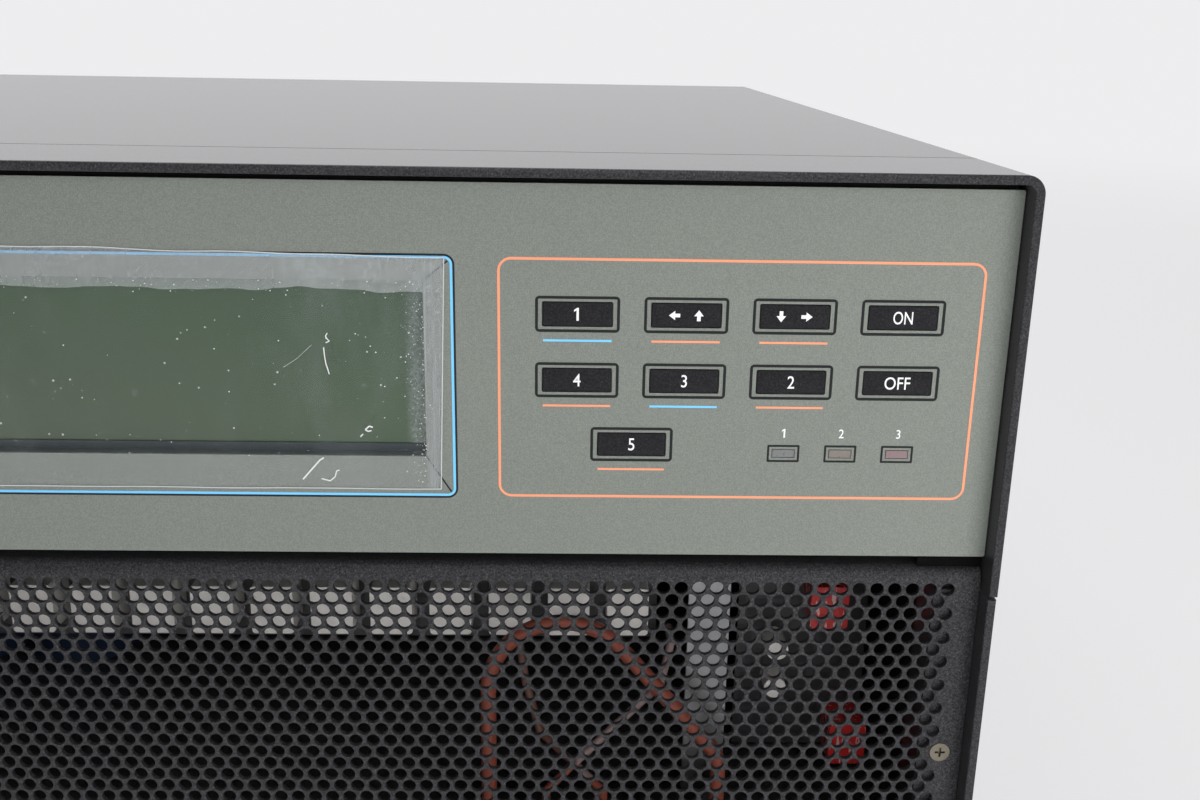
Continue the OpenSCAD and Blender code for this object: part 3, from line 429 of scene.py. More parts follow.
finishes = {
    "case_paint": powderCoat("casePaint", rgb(0.026, 0.026, 0.028)),
    "cover_paint": powderCoat("coverPaint", rgb(0.034, 0.034, 0.036)),
    "panel_print": satinFoil("panelPrint", rgb(0.2, 0.218, 0.193)),
    "display_glass": displayGreen("displayGlass"),
    "display_metal": plainPlastic("displayMetal", rgb(0.035, 0.046, 0.05), 0.4),
    "key_black": powderCoat("keyBlack", rgb(0.012, 0.012, 0.014), 0.3, 0.012, 0.5, 0.0),
    "led_lens": lampLens("ledLens"),
    "zinc": bareMetal("yellowZinc", rgb(0.3, 0.27, 0.21), 0.42, edge=0.15, stain=0.35),
    "bare_aluminium": bareMetal("bareAluminium", rgb(0.56, 0.57, 0.58), 0.34,
                                (1.0, 0.05, 0.05), stain=0.3),
    "black_anodised": bareMetal("blackAnodised", rgb(0.05, 0.05, 0.055), 0.45, (1.0, 0.04, 1.0)),
    "rubber": rubberBlack("rubber", rgb(0.018, 0.018, 0.018)),
    "nickel": bareMetal("nickel", rgb(0.6, 0.58, 0.54), 0.26),
    "gilt": bareMetal("gilt", rgb(0.83, 0.62, 0.27), 0.25),
    "black_plastic": plainPlastic("blackPlastic", rgb(0.016, 0.016, 0.018), 0.42, 0.015),
    "red_plastic": plainPlastic("redPlastic", rgb(0.3, 0.02, 0.015), 0.3, 0.004),
    "bright_steel": tinPlate("brightSteel", rgb(0.95, 0.9, 0.86)),
    "winding": copperWinding("copperWinding", rgb(0.72, 0.3, 0.1), rgb(0.3, 0.12, 0.04)),
    "board_black": circuitBoard("circuitBoardBlack", rgb(0.02, 0.02, 0.022)),
    "board": circuitBoard("circuitBoard", rgb(0.02, 0.075, 0.04)),
    # the last colour, for the left-hand thin lead, is darker: painted shade
    "brown_insulation": leadSheath("leadSheath", rgb(0.33, 0.085, 0.055),
                                   rgb(0.34, 0.25, 0.24), rgb(0.16, 0.08, 0.06)),
    "red_case": filmCapacitor("redCase", rgb(0.66, 0.03, 0.03)),
    "sleeve": plainPlastic("sleeve", rgb(0.02, 0.03, 0.06), 0.25),
    # near-black strips that fill the seams round the panel: painted shade
    "seam_foam": rubberBlack("seamShadeBlack", rgb(0.003, 0.003, 0.003), 0.05),
    # pale marks on the film: glints on creases (painted highlights), scratches and dust
    "film_mark": printInk("filmDustAndGlints", rgb(0.72, 0.74, 0.72), 0.3),
    # the pale strip along the film's edge: painted highlight
    "film_edge": printInk("filmEdge", rgb(0.55, 0.58, 0.58), 0.3),
    "ink_orange": printInk("inkOrange", rgb(0.9, 0.34, 0.19)),
    "ink_blue": printInk("inkBlue", rgb(0.2, 0.6, 1.0)),
    "ink_black": printInk("inkBlack", rgb(0.012, 0.013, 0.014), 0.55),
    "ink_white": printInk("inkWhite", rgb(0.85, 0.86, 0.86)),
}
for part in frame["record"]["subparts"]:
    for place in frame["nodes"][part["node"]].material_slots:
        place.material = finishes.get(part["material_slot"], place.material)
print("finishes made:", len(finishes))


class Mesher:  # gathers faces, with shared points, into one closed mesh
    def __init__(self):
        self.points, self.faces, self.smooth, self.known = [], [], [], {}

    def point(self, x, y, z):
        key = (round(x * 1e6), round(y * 1e6), round(z * 1e6))
        if key not in self.known:
            self.known[key] = len(self.points)
            self.points.append((x, y, z))
        return self.known[key]

    def face(self, corners, smooth=False):
        self.faces.append([self.point(*corner) for corner in corners])
        self.smooth.append(smooth)

    def quad(self, *corners, smooth=False):  # each corner is an (x, z) with its depth
        self.face([(place[0], depth, place[1]) for place, depth in corners], smooth)

    def prism(self, loop, front, back, hole=None):  # loops of (x, z), counter-clockwise
        count = len(loop)
        for index in range(count):
            after = (index + 1) % count
            a, b = loop[index], loop[after]
            self.quad((a, front), (a, back), (b, back), (b, front))
            if hole:
                c, d = hole[index], hole[after]
                self.quad((a, front), (b, front), (d, front), (c, front))
                self.quad((a, back), (c, back), (d, back), (b, back))
                self.quad((c, front), (d, front), (d, back), (c, back))
        if not hole:
            self.face([(x, front, z) for x, z in loop])
            self.face([(x, back, z) for x, z in reversed(loop)])

    def build(self, name, finish, body="chassis"):
        data = bpy.data.meshes.new(name)
        data.from_pydata(self.points, [], self.faces)
        data.polygons.foreach_set("use_smooth", self.smooth)
        mesh = bmesh.new()
        mesh.from_mesh(data)
        bmesh.ops.recalc_face_normals(mesh, faces=mesh.faces)
        mesh.to_mesh(data)
        mesh.free()
        data.set_sharp_from_angle(angle=sharpAngle)
        return addPiece(data, name, finish, body)


def addPiece(data, name, finish, body="chassis"):
    piece = bpy.data.objects.new(name, data)
    bpy.context.scene.collection.objects.link(piece)
    data.materials.clear()
    data.materials.append(finishes[finish])
    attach(piece, body)
    return piece


def roundedLoop(x, z, width, height, radius, steps=6):
    loop = []
    for corner in range(4):
        middleX = x + (width / 2 - radius) * (1 if corner in (0, 3) else -1)
        middleZ = z + (height / 2 - radius) * (1 if corner in (0, 1) else -1)
        for step in range(steps + 1):
            angle = math.pi / 2 * (corner + step / steps)
            loop.append((middleX + radius * math.cos(angle), middleZ + radius * math.sin(angle)))
    return loop


def bar(x0, z0, x1, z1, width):  # a straight stroke as a loop
    along = Vector((x1 - x0, z1 - z0)).normalized() * width / 2
    side = Vector((-along.y, along.x))
    return [(x0 - side.x, z0 - side.y), (x1 - side.x, z1 - side.y), (x1 + side.x, z1 + side.y),
            (x0 + side.x, z0 + side.y)]


# The front edges of the frame and of the keys, rounded over
rounding = {
    "frame": 0.35,  # mm
    "key": 0.3,
    "merge": 0.002,  # points closer than this become one
    "flat": 0.5,  # degrees; faces that differ by less become one
    "steep": 50,  # degrees; edges over this are rounded
    "band": 0.05,  # only those within this depth of the front
    "segments": 3,
}


def roundOver(node, width, finish, body="chassis"):
    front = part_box(node)[0].y
    mesh = bmesh.new()
    mesh.from_mesh(frame["nodes"][node].data)
    bmesh.ops.remove_doubles(mesh, verts=mesh.verts[:], dist=rounding["merge"] * mm)
    bmesh.ops.dissolve_limit(mesh, angle_limit=math.radians(rounding["flat"]),
                             verts=mesh.verts[:], edges=mesh.edges[:])
    steep, band = math.radians(rounding["steep"]), front + rounding["band"] * mm
    edges = [edge for edge in mesh.edges if edge.calc_face_angle(0.0) > steep
             and all(vertex.co.y < band for vertex in edge.verts)]
    bmesh.ops.bevel(mesh, geom=edges, offset=width * mm, offset_type="OFFSET",
                    segments=rounding["segments"], profile=0.5, affect="EDGES",
                    clamp_overlap=True)
    for face in mesh.faces:
        face.smooth = True
    data = bpy.data.meshes.new(node + "_rounded")
    mesh.to_mesh(data)
    mesh.free()
    data.set_sharp_from_angle(angle=sharpAngle)
    made = addPiece(data, data.name, finish, body)
    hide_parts(node)


for node in ("front_frame_upper", "front_frame_lower"):
    roundOver(node, rounding["frame"], "case_paint")
for side in ("left", "right"):
    for index in range(1, 10):
        name = f"key_{side}_{index}"
        roundOver(name, rounding["key"], "key_black", name + "_cap")
print("edges rounded")


# The perforated grille, with its real hole spacing; lengths in mm
grille = {
    "sheet": 1.15,
    "hole": 3.12,
    "zigzag": 0.4,  # how far the cells' edges step up and down between the rows
    "pitch": 4.0,
    "rowPitch": 3.0,
    "firstRow": 92.8,  # from the top of the case
    "firstHole": 9.5,  # from the right side
    "sideRoom": 4.5,  # from the sheet's left end to a hole's middle, at least
    "sides": 12,
    "bend": 3.0,
    "bendSteps": 5,
    "flangeEnd": 14.0,
    "flangeHalf": 187.2,
    "screwInset": 7.3,
    "screwHead": 2.55,
    "screwHole": 1.4,
    "screwSides": 24,
    "screwRoom": 4.6,
}
tiny = 1e-7  # m; places closer than this are the same


def makeGrille():
    low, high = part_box("front_grille")
    sheet, bend = grille["sheet"] * mm, grille["bend"] * mm
    front, back = low.y, low.y + sheet
    half = high.x
    radius, room = grille["hole"] / 2 * mm, grille["screwRoom"] * mm
    pitch, rowPitch = grille["pitch"] * mm, grille["rowPitch"] * mm
    step, rise = pitch / 2, rowPitch / 2
    sides = grille["sides"]
    lastX, topZ = spot(grille["firstHole"], grille["firstRow"])
    columns = int((lastX + half - grille["sideRoom"] * mm) / pitch) + 1
    rows = int((topZ - low.z - bend - radius) / rowPitch) + 1
    left = lastX - (columns - 1) * pitch - step  # the cells' outermost edge
    screwZ = (low.z + high.z) / 2
    screws = [(sign * (caseRight - grille["screwInset"] * mm), screwZ) for sign in (1, -1)]
    gridX = [left + index * step for index in range(2 * columns + 1)]
    mesh = Mesher()

    def both(loop):  # a flat face on the front and its twin on the back
        mesh.face([(x, front, z) for x, z in loop])
        mesh.face([(x, back, z) for x, z in reversed(loop)])

    def cell(x, z):  # one hole in its brick, as two faces each side and a wall
        turns = [math.pi / 2 + 2 * math.pi * k / sides for k in range(sides + 1)]
        ring = [(x + radius * math.cos(turn), z + radius * math.sin(turn)) for turn in turns]
        middle = sides // 2
        both([(x, z + rise), (x - step, z + rise), (x - step, z - rise), (x, z - rise)]
             + list(reversed(ring[:middle + 1])))
        both([(x, z - rise), (x + step, z - rise), (x + step, z + rise), (x, z + rise)]
             + list(reversed(ring[middle:])))
        for a, b in zip(ring, ring[1:]):
            mesh.quad((a, front), (b, front), (b, back), (a, back), smooth=True)

    def beyond(start, sign, backwards):  # the grid's places past start, in drawing order
        return sorted([x for x in gridX if (x - start) * sign > tiny], reverse=backwards)

    edges = [topZ + rise - row * rowPitch for row in range(rows + 1)]
    screwRows = [row for row in range(rows) if abs(topZ - row * rowPitch - screwZ) < room]
    taken = {}
    for row in range(rows):
        z = topZ - row * rowPitch
        shift = step * (row % 2)
        xs = [lastX - shift - index * pitch for index in range(columns - row % 2)]
        xs = [x for x in xs if all(math.dist((x, z), screw) > room for screw in screws)]
        for x in xs:
            cell(x, z)
        taken[row] = (min(xs) - step, max(xs) + step)
        for outer, inner, sign in ((half, taken[row][1], 1), (-half, taken[row][0], -1)):
            if row in screwRows:
                continue
            top = [(x, z + rise) for x in [inner] + beyond(inner, sign, sign < 0) + [outer]]
            bottom = [(x, z - rise) for x, _ in reversed(top)]
            loop = top + bottom
            both(loop if sign < 0 else list(reversed(loop)))

    # the plain ground round each screw, with its countersink
    count = grille["screwSides"]
    halfCount = count // 2
    angles = [math.pi / 2 + 2 * math.pi * k / count for k in range(count + 1)]
    upper, lower = edges[screwRows[0]], edges[screwRows[-1] + 1]
    for sign, (screwX, _) in zip((1, -1), screws):
        outer = sign * half
        side = 1 if sign > 0 else 0
        path = []
        for row in screwRows:
            path += [(taken[row][side], edges[row]), (taken[row][side], edges[row + 1])]
        innerLine = []
        for place in path:
            last = innerLine[-1] if innerLine else place
            if abs(place[0] - last[0]) > tiny and abs(place[1] - last[1]) < tiny:
                near, far = sorted((place[0], last[0]))
                reach = [x for x in gridX if near + tiny < x < far - tiny]
                innerLine += [(x, place[1]) for x in sorted(reach, reverse=place[0] < last[0])]
            if not innerLine or math.dist(place, innerLine[-1]) > tiny:
                innerLine.append(place)
        beyondTop = beyond(innerLine[0][0], sign, sign > 0)
        beyondLow = beyond(innerLine[-1][0], sign, sign < 0)
        splitX = beyondTop[0]
        rims = {}
        for depth, reach in ((front, grille["screwHead"] * mm), (back, grille["screwHole"] * mm)):
            ring = [(screwX + reach * math.cos(angle), screwZ + reach * math.sin(angle))
                    for angle in angles]
            rims[depth] = ring
            nearTop = [(x, upper) for x in beyondTop if (x - splitX) * sign <= tiny]
            nearLow = [(x, lower) for x in beyondLow if (x - splitX) * sign <= tiny]
            inside = nearTop + innerLine + nearLow
            outside = [(splitX, lower), (outer, lower)]
            outside += [(outer, edges[row]) for row in reversed(screwRows[1:])]
            outside += [(outer, upper), (splitX, upper)]
            first, second = ring[:halfCount + 1], ring[halfCount:]
            if sign < 0:
                first, second = list(reversed(second)), list(reversed(first))
            mesh.face([(x, depth, z) for x, z in inside + list(reversed(first))])
            mesh.face([(x, depth, z) for x, z in outside + list(reversed(second))])
        cone = front + (grille["screwHead"] - grille["screwHole"]) * mm
        for k in range(count):
            a, b, c, d = rims[front][k], rims[front][k + 1], rims[back][k + 1], rims[back][k]
            mesh.quad((a, front), (b, front), (c, cone), (d, cone), smooth=True)
            mesh.quad((d, cone), (c, cone), (c, back), (d, back), smooth=True)

    # margins above and below, the bends and the folded flanges
    lineX = [-half] + gridX + [half]
    end, flangeHalf = front + grille["flangeEnd"] * mm, grille["flangeHalf"] * mm
    steps = grille["bendSteps"]
    for sign, edgeZ, foldZ in ((1, edges[0], high.z - bend), (-1, edges[-1], low.z + bend)):
        outline, inline = [(front, edgeZ)], [(back, edgeZ)]
        for k in range(steps + 1):
            angle = math.pi / 2 * k / steps
            for line, curve in ((outline, bend), (inline, bend - sheet)):
                line.append((front + bend - curve * math.cos(angle),
                             foldZ + sign * curve * math.sin(angle)))
        for a, b in zip(lineX, lineX[1:]):
            for line, flip in ((outline, 1), (inline, -1)):
                for (y0, z0), (y1, z1) in zip(line, line[1:]):
                    corners = [(a, y0, z0), (b, y0, z0), (b, y1, z1), (a, y1, z1)]
                    mesh.face(corners[::flip], True)
                if max(abs(a), abs(b)) < flangeHalf:
                    y0, z0 = line[-1]
                    mesh.face([(a, y0, z0), (b, y0, z0), (b, end, z0), (a, end, z0)][::flip], True)
            (y0, z0), (y1, z1) = outline[-1], inline[-1]
            if max(abs(a), abs(b)) < flangeHalf:
                y0 = y1 = end
            mesh.face([(a, y0, z0), (b, y0, z0), (b, y1, z1), (a, y1, z1)])
        for x in (-half, half):
            for k in range(len(outline) - 1):
                corners = [outline[k], outline[k + 1], inline[k + 1], inline[k]]
                mesh.face([(x, y, z) for y, z in corners])
        innerX = [x for x in lineX if abs(x) < flangeHalf]
        for x in (innerX[0], innerX[-1]):
            (y0, z0), (_, z1) = outline[-1], inline[-1]
            mesh.face([(x, y0, z0), (x, end, z0), (x, end, z1), (x, y0, z1)])
    for x in (-half, half):
        for upper, lower in zip(edges, edges[1:]):
            mesh.face([(x, front, upper), (x, front, lower), (x, back, lower), (x, back, upper)])
    # the rows' edges, drawn straight so far, give way to the holes above and below them
    shift = grille["zigzag"] * mm
    for index, (x, y, z) in enumerate(mesh.points):
        row, column = round((edges[0] - z) / rowPitch), round((lastX - x) / step)
        offRow = abs(edges[0] - z - row * rowPitch)
        offColumn = abs(lastX - x - column * step)
        inGrid = 0 <= row <= rows and abs(x) < half - tiny
        if offRow < tiny and offColumn < tiny and inGrid:
            mesh.points[index] = (x, y, z + (shift if (column - row) % 2 == 0 else -shift))
    made = mesh.build("front_grille_sheet", "case_paint")
    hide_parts("front_grille")
    print("grille:", rows, "rows,", len(made.data.polygons), "faces")


makeGrille()


# The printing on the panel; places in mm from the right side and from the top
printing = {
    "thick": 0.04,
    "line": 0.55,
    "thinLine": 0.45,
    "outline": 0.6,
    "cornerLine": 0.35,
    "cornerGap": 1.0,
    "innerRound": 1.2,  # line widths that the inner radius of a ring is smaller by
    "leastRound": 0.05,
    "groupFrame": {"left": 110.1, "right": 8.3, "top": 18.65, "bottom": 71.25, "radius": 2.9},
    "displayRight": 119.3,
    "displayRadius": 1.8,
    "windowRight": 125.5,
    "windowTop": 23.9,
    "windowBottom": 62.2,
    "keyColumns": (25.1, 47.87, 70.64, 93.41),
    "keyRows": (30.55, 44.8, 59.05),
    "loneKey": 81.5,
    "ring": (17.7, 7.7, 0.9),  # width, height and radius
    "underline": (14.4, 0.46, 5.65),  # width, height and distance below the key's middle
    "lamps": (23.9, 36.25, 48.6),
    "lampRow": 60.8,
    "lampBox": (7.0, 3.9, 0.25),
    "lampLabel": 56.2,
}
inkFront, inkBack = foilFace - printing["thick"] * mm, foilFace
keyPlaces = [(inward, down) for down in printing["keyRows"][:2]
             for inward in printing["keyColumns"]]
keyPlaces.append((printing["loneKey"], printing["keyRows"][2]))
underlines = [None, "ink_orange", "ink_orange", "ink_blue", None, "ink_orange", "ink_blue",
              "ink_orange", "ink_orange"]


def lineRing(mesh, x, z, width, height, radius, line):
    inner = max(radius - printing["innerRound"] * line, printing["leastRound"] * mm)
    mesh.prism(roundedLoop(x, z, width, height, radius), inkFront, inkBack,
               roundedLoop(x, z, width - 2 * line, height - 2 * line, inner))


def makePrinting():
    inks = {name: Mesher() for name in ("ink_orange", "ink_blue", "ink_black")}
    line, thin = printing["line"] * mm, printing["thinLine"] * mm
    group = printing["groupFrame"]
    middle = (group["top"] + group["bottom"]) / 2
    tall = (group["bottom"] - group["top"]) * mm
    underWide, underTall, below = (value * mm for value in printing["underline"])
    for flip in (False, True):
        def turned(inward):
            return mirrored(inward) if flip else inward
        x, z = spot(turned((group["left"] + group["right"]) / 2), middle)
        lineRing(inks["ink_orange"], x, z, (group["left"] - group["right"]) * mm, tall,
                 group["radius"] * mm, line)
        ring = [value * mm for value in printing["ring"]]
        for (inward, down), underline in zip(keyPlaces, underlines):
            x, z = spot(turned(inward), down)
            lineRing(inks["ink_black"], x, z, *ring, printing["outline"] * mm)
            if underline:
                loop = bar(x - underWide / 2, z - below, x + underWide / 2, z - below, underTall)
                inks[underline].prism(loop, inkFront, inkBack)
        box = [value * mm for value in printing["lampBox"]]
        for inward in printing["lamps"]:
            x, z = spot(turned(inward), printing["lampRow"])
            lineRing(inks["ink_black"], x, z, *box, thin)
    # the frame round the display, its dark shadow line, and the lines at its corners
    right, gap = printing["displayRight"], printing["cornerGap"]
    x, z = spot(caseRight / mm, middle)
    wide = 2 * (caseRight - right * mm)
    radius = printing["displayRadius"] * mm
    lineRing(inks["ink_blue"], x, z, wide, tall, radius, line)
    lineRing(inks["ink_black"], x, z, wide + 2 * thin, tall + 2 * thin, radius + thin, thin)
    for flip in (False, True):
        for innerDown, outerDown in ((printing["windowTop"], group["top"] + gap),
                                     (printing["windowBottom"], group["bottom"] - gap)):
            ends = [spot(mirrored(inward) if flip else inward, down) for inward, down in
                    ((printing["windowRight"], innerDown), (right + gap, outerDown))]
            loop = bar(*ends[0], *ends[1], printing["cornerLine"] * mm)
            inks["ink_black"].prism(loop, inkFront, inkBack)
    for name, mesh in inks.items():
        mesh.build("panel_print_" + name.split("_")[1], name)


makePrinting()


lettering = {
    "bold": 0.004,
    "depth": 0.01,
    "steps": 4,
    "squeeze": 0.86,  # of the width, where none is given
}


def glyphs(text, height, width=None):  # flat outlines of plain lettering, as a mesh
    curve = bpy.data.curves.new("lettering", "FONT")
    curve.body, curve.align_x, curve.align_y = text, "CENTER", "CENTER"
    curve.offset, curve.extrude = lettering["bold"], lettering["depth"]
    curve.resolution_u = lettering["steps"]
    holder = bpy.data.objects.new("lettering", curve)
    bpy.context.scene.collection.objects.link(holder)
    bpy.context.view_layer.update()
    data = bpy.data.meshes.new_from_object(holder)
    bpy.data.objects.remove(holder)
    tall = [vertex.co.y for vertex in data.vertices]
    wide = [vertex.co.x for vertex in data.vertices]
    factor = height / (max(tall) - min(tall))
    squeeze = width / (max(wide) - min(wide)) / factor if width else lettering["squeeze"]
    centre = Vector(((max(wide) + min(wide)) / 2, (max(tall) + min(tall)) / 2, 0))
    for vertex in data.vertices:
        vertex.co = (vertex.co - centre) * factor
        vertex.co.x *= squeeze
    return data


flaggedOne = [(0.1, 0.5), (-0.04, 0.5), (-0.27, 0.33), (-0.27, 0.19), (-0.08, 0.3),
              (-0.08, -0.5), (0.1, -0.5)]  # the plain lettering's one has no flag; 1 high


def numeralOne(mesh, x, z, depth, thick, height):
    loop = [(x + across * height, z + up * height) for across, up in flaggedOne]
    mesh.prism(loop, depth - thick, depth)


def placeGlyphs(data, x, z, depth, thick):
    low = min(vertex.co.z for vertex in data.vertices)
    high = max(vertex.co.z for vertex in data.vertices)
    for vertex in data.vertices:
        share = (vertex.co.z - low) / (high - low)
        vertex.co = Vector((vertex.co.x + x, depth - share * thick, vertex.co.y + z))
    return data


arrow = {"length": 2.35, "headLength": 1.3, "head": 2.0, "shaft": 0.78}


def arrowLoop(x, z, angle):
    length, headLength = arrow["length"] / 2 * mm, arrow["headLength"] * mm
    head, shaft = arrow["head"] / 2 * mm, arrow["shaft"] / 2 * mm
    neck = length - headLength
    shape = [(length, 0), (neck, head), (neck, shaft), (-length, shaft), (-length, -shaft),
             (neck, -shaft), (neck, -head)]
    turn = Matrix.Rotation(angle, 2)
    return [tuple(Vector((x, z)) + turn @ Vector(corner)) for corner in shape]


legends = {
    "height": 2.75,
    "smallHeight": 2.0,
    "widths": {"ON": 4.15, "OFF": 5.5},
    "right": ["ON", None, None, "1", "OFF", "2", "3", "4", "5"],
    "left": ["6", "7", "8", "9", "10", "11", "12", "13", "14"],
    "arrows": {1: ((-2.9, -90), (2.5, 0)), 2: ((-2.5, 180), (2.6, 90))},  # shift and angle
    "lamps": ["3", "2", "1"],
}


def makeLegends():
    thick = printing["thick"] * mm

    def letter(name, text, x, z, face, height, body="chassis"):
        if text == "1":
            mesh = Mesher()
            numeralOne(mesh, x, z, face, thick, height)
            mesh.build(name, "ink_white", body)
            return
        data = glyphs(text, height, legends["widths"].get(text, 0) * mm)
        placeGlyphs(data, x, z, face, thick)
        data.name = name
        addPiece(data, name, "ink_white", body)

    for side in ("right", "left"):
        for index, (inward, down) in enumerate(keyPlaces):
            x, z = spot(inward if side == "right" else mirrored(inward), down)
            key = f"{side}_{index + 1}"
            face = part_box("key_" + key)[0].y
            text = legends[side][index]
            if text:
                letter("legend_" + key, text, x, z, face, legends["height"] * mm,
                       f"key_{key}_cap")
                continue
            mesh = Mesher()
            for shift, angle in legends["arrows"][index]:
                loop = arrowLoop(x + shift * mm, z, math.radians(angle))
                mesh.prism(loop, face - thick, face)
            mesh.build("legend_" + key, "ink_white", f"key_{key}_cap")
        for index, inward in enumerate(printing["lamps"]):
            x, z = spot(inward if side == "right" else mirrored(inward), printing["lampLabel"])
            letter(f"lamp_number_{side}_{index + 1}", legends["lamps"][index], x, z, foilFace,
                   legends["smallHeight"] * mm)

makeLegends()
print("printing made")


# The peel-off film on the display, with its creases, scratches and dust; lengths in mm. The
# creases' glints are pale strips: painted highlights.
film = {
    "above": 6.2,  # how far it reaches past the display's window
    "below": 7.4,
    "beside": (4.5, 3.0),  # at the top and at the bottom
    "droop": 1.3,  # how far its upper edge has sunk at droopShare of the way to the right
    "droopShare": 0.4,
    "edgeWaves": (0.25, 0.35),  # of its lower and its upper edge
    "columns": 170,
    "rows": 56,
    "gap": 0.09,  # between the film and the printing
    "wave": 0.18,
    "thick": 0.05,
    # a pale strip along the film's edge: painted highlight of the cut edge
    "rim": 0.22,
    "rimThick": 0.03,
    "rimReach": 9.0,  # no longer stretch of rim is drawn
    "markThick": 0.05,
    # pale strips: the first four are glints on creases, painted highlights; the others are
    # scratches
    "creaseGlintsAndScratches": [  # width, then points from the right side and from the top
        (0.2, (145.5, 35.1), (145.9, 35.8), (145.5, 36.5), (145.1, 36.8), (145.9, 37.2)),
        (0.22, (146.4, 38.2), (146.3, 39.9), (146.1, 41.7), (145.7, 43.1), (145.5, 44.0)),
        (0.3, (136.8, 55.7), (137.5, 55.4), (138.4, 56.2), (137.8, 56.6), (137.1, 56.4)),
        (0.25, (139.5, 57.8), (138.9, 57.2)),
        (0.34, (152.2, 67.6), (151.0, 66.2), (149.7, 64.7), (148.4, 63.2), (147.5, 62.6)),
        (0.26, (148.2, 67.4), (146.4, 67.9), (145.3, 67.0), (144.9, 65.6), (144.3, 65.4)),
        (0.04, (155.0, 42.6), (152.1, 40.7), (148.9, 37.7)),
    ],
    "dust": (420, 170, 170),  # specks beside the window's edge, along its top, and anywhere
    "dustSpread": (1.8, 1.6),  # from that edge and from that top
    "dustBelow": 6.0,  # how far specks lie below the window
    "dustSizes": (0.04, 0.04, 0.05, 0.06, 0.08, 0.12),
    "dustThick": 0.04,
}
# How much of the film can be seen: a share of its smears or stripes, and the least of it
veil = {
    "window": (0.05, 0.015),
    "top": (0.14, 0.34),
    "side": (0.3, 0.2),
    "below": (0.1, 0.1),
    "specks": 0.5,
    "bubbles": 0.07,
    "waves": (4.0, 0.2),  # mm; height and drop of the wavy line along the window's top
    "speckScale": 420.0,
    "bubbleScale": 150.0,
}


def filmMaterial():
    made, field = newMaterial("clearFilm", Specular_IOR_Level=0.5, Roughness=0.12)
    right, top = spot(printing["windowRight"], printing["windowTop"])
    bottom = spot(0, printing["windowBottom"])[1]
    east, _, up = axes(field)
    ripple = grain(field, 55.0, 2.0, 0.5, (1.0, 1.0, 0.05))
    away = field.maths("ABSOLUTE", east)
    waveHeight, waveDrop = (length * mm for length in veil["waves"])
    wavyTop = (up + ripple * waveHeight) > (top - waveDrop)
    beside, under = away > right, up < bottom
    smear = grain(field, 70.0, 4.0, 0.65, (1.0, 1.0, 0.35)).soft(0.45, 0.8)
    stripes = grain(field, 900.0, 2.0, 0.6, (1.0, 0.0, 0.02)).soft(0.4, 0.65)
    values = {"Vector": places(field), "Scale": veil["speckScale"]}
    specks = 1 - field.node("TexVoronoi", values=values).soft(0.06, 0.14)
    specks = specks * grain(field, 160.0, 1.0).soft(0.5, 0.62)
    values = {"Vector": places(field), "Scale": veil["bubbleScale"]}
    bubbles = 1 - field.node("TexVoronoi", values=values).soft(0.1, 0.2)
    bubbles = bubbles * grain(field, 60.0, 1.0).soft(0.5, 0.6)
    share, least = veil["window"]
    haze = smear * share + least
    for where, pattern, (share, least) in ((wavyTop, smear, veil["top"]),
                                           (beside, stripes, veil["side"]),
                                           (under, smear, veil["below"])):
        haze = field.maths("MAXIMUM", haze, where * (pattern * share + least))
    for where, amount in ((specks, veil["specks"]), (bubbles, veil["bubbles"])):
        haze = field.maths("MAXIMUM", haze, where * amount)
    haze.into("Alpha")
    specks.mix(rgb(0.62, 0.66, 0.67), rgb(0.95, 0.95, 0.93)).into("Base Color")
    relief(field, grain(field, 130.0, 3.0), 0.12 * mm, 0.8)
    return made


def filmEdge(x):  # heights of the film's lower and upper edge at x
    _, top = spot(0, printing["windowTop"] - film["above"])
    _, bottom = spot(0, printing["windowBottom"] + film["below"])
    droop = -film["droop"] * mm * max(0.0, x / (caseRight * film["droopShare"]))
    lowWave, topWave = (height * mm for height in film["edgeWaves"])
    upper = droop + topWave * noise.noise(Vector((x * 60, 0.3, 0)))
    return bottom + lowWave * noise.noise(Vector((x * 45, 4.1, 0))), top + upper


def filmDepth(x, z):
    slow = noise.noise(Vector((x * 38, z * 70, 1.7)))
    swell = slow + 0.5 * noise.noise(Vector((x * 110, z * 130, 5.2)))
    return foilFace - film["gap"] * mm - (0.5 + 0.5 * swell) * film["wave"] * mm


def filmRight(share):  # the side edge, from the bottom at 0 to the top at 1
    topReach, lowReach = film["beside"]
    return spot(printing["windowRight"] - lowReach - (topReach - lowReach) * share, 0)[0]


def makeFilm():
    finishes["clear_film"] = filmMaterial()
    columns, rows = film["columns"], film["rows"]
    mesh = bmesh.new()
    grid = []
    for column in range(columns + 1):
        share = -1 + 2 * column / columns
        line = []
        for row in range(rows + 1):
            x = filmRight(row / rows) * share
            low, high = filmEdge(x)
            z = low + (high - low) * row / rows
            line.append(mesh.verts.new((x, filmDepth(x, z), z)))
        grid.append(line)
    rim = [vertex.co.copy() for vertex in [line[0] for line in grid] + grid[-1]
           + [line[-1] for line in grid[::-1]] + grid[0][::-1]]
    for a, b in zip(grid, grid[1:]):
        for row in range(rows):
            mesh.faces.new((a[row], b[row], b[row + 1], a[row + 1]))
    bmesh.ops.solidify(mesh, geom=mesh.faces[:], thickness=film["thick"] * mm)
    for face in mesh.faces:
        face.smooth = True
    data = bpy.data.meshes.new("display_cover_film")
    mesh.to_mesh(data)
    mesh.free()
    made = addPiece(data, "display_cover_film", "clear_film")
    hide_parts("display_film")
    return rim


def stroke(mesh, points, width, thick):  # a narrow strip on the film, from point to point
    for a, b in zip(points, points[1:]):
        if math.dist(a, b) < 0.01 * mm:
            continue
        depth = min(filmDepth(*a), filmDepth(*b)) - film["thick"] * mm
        mesh.prism(bar(*a, *b, width), depth - thick, depth)


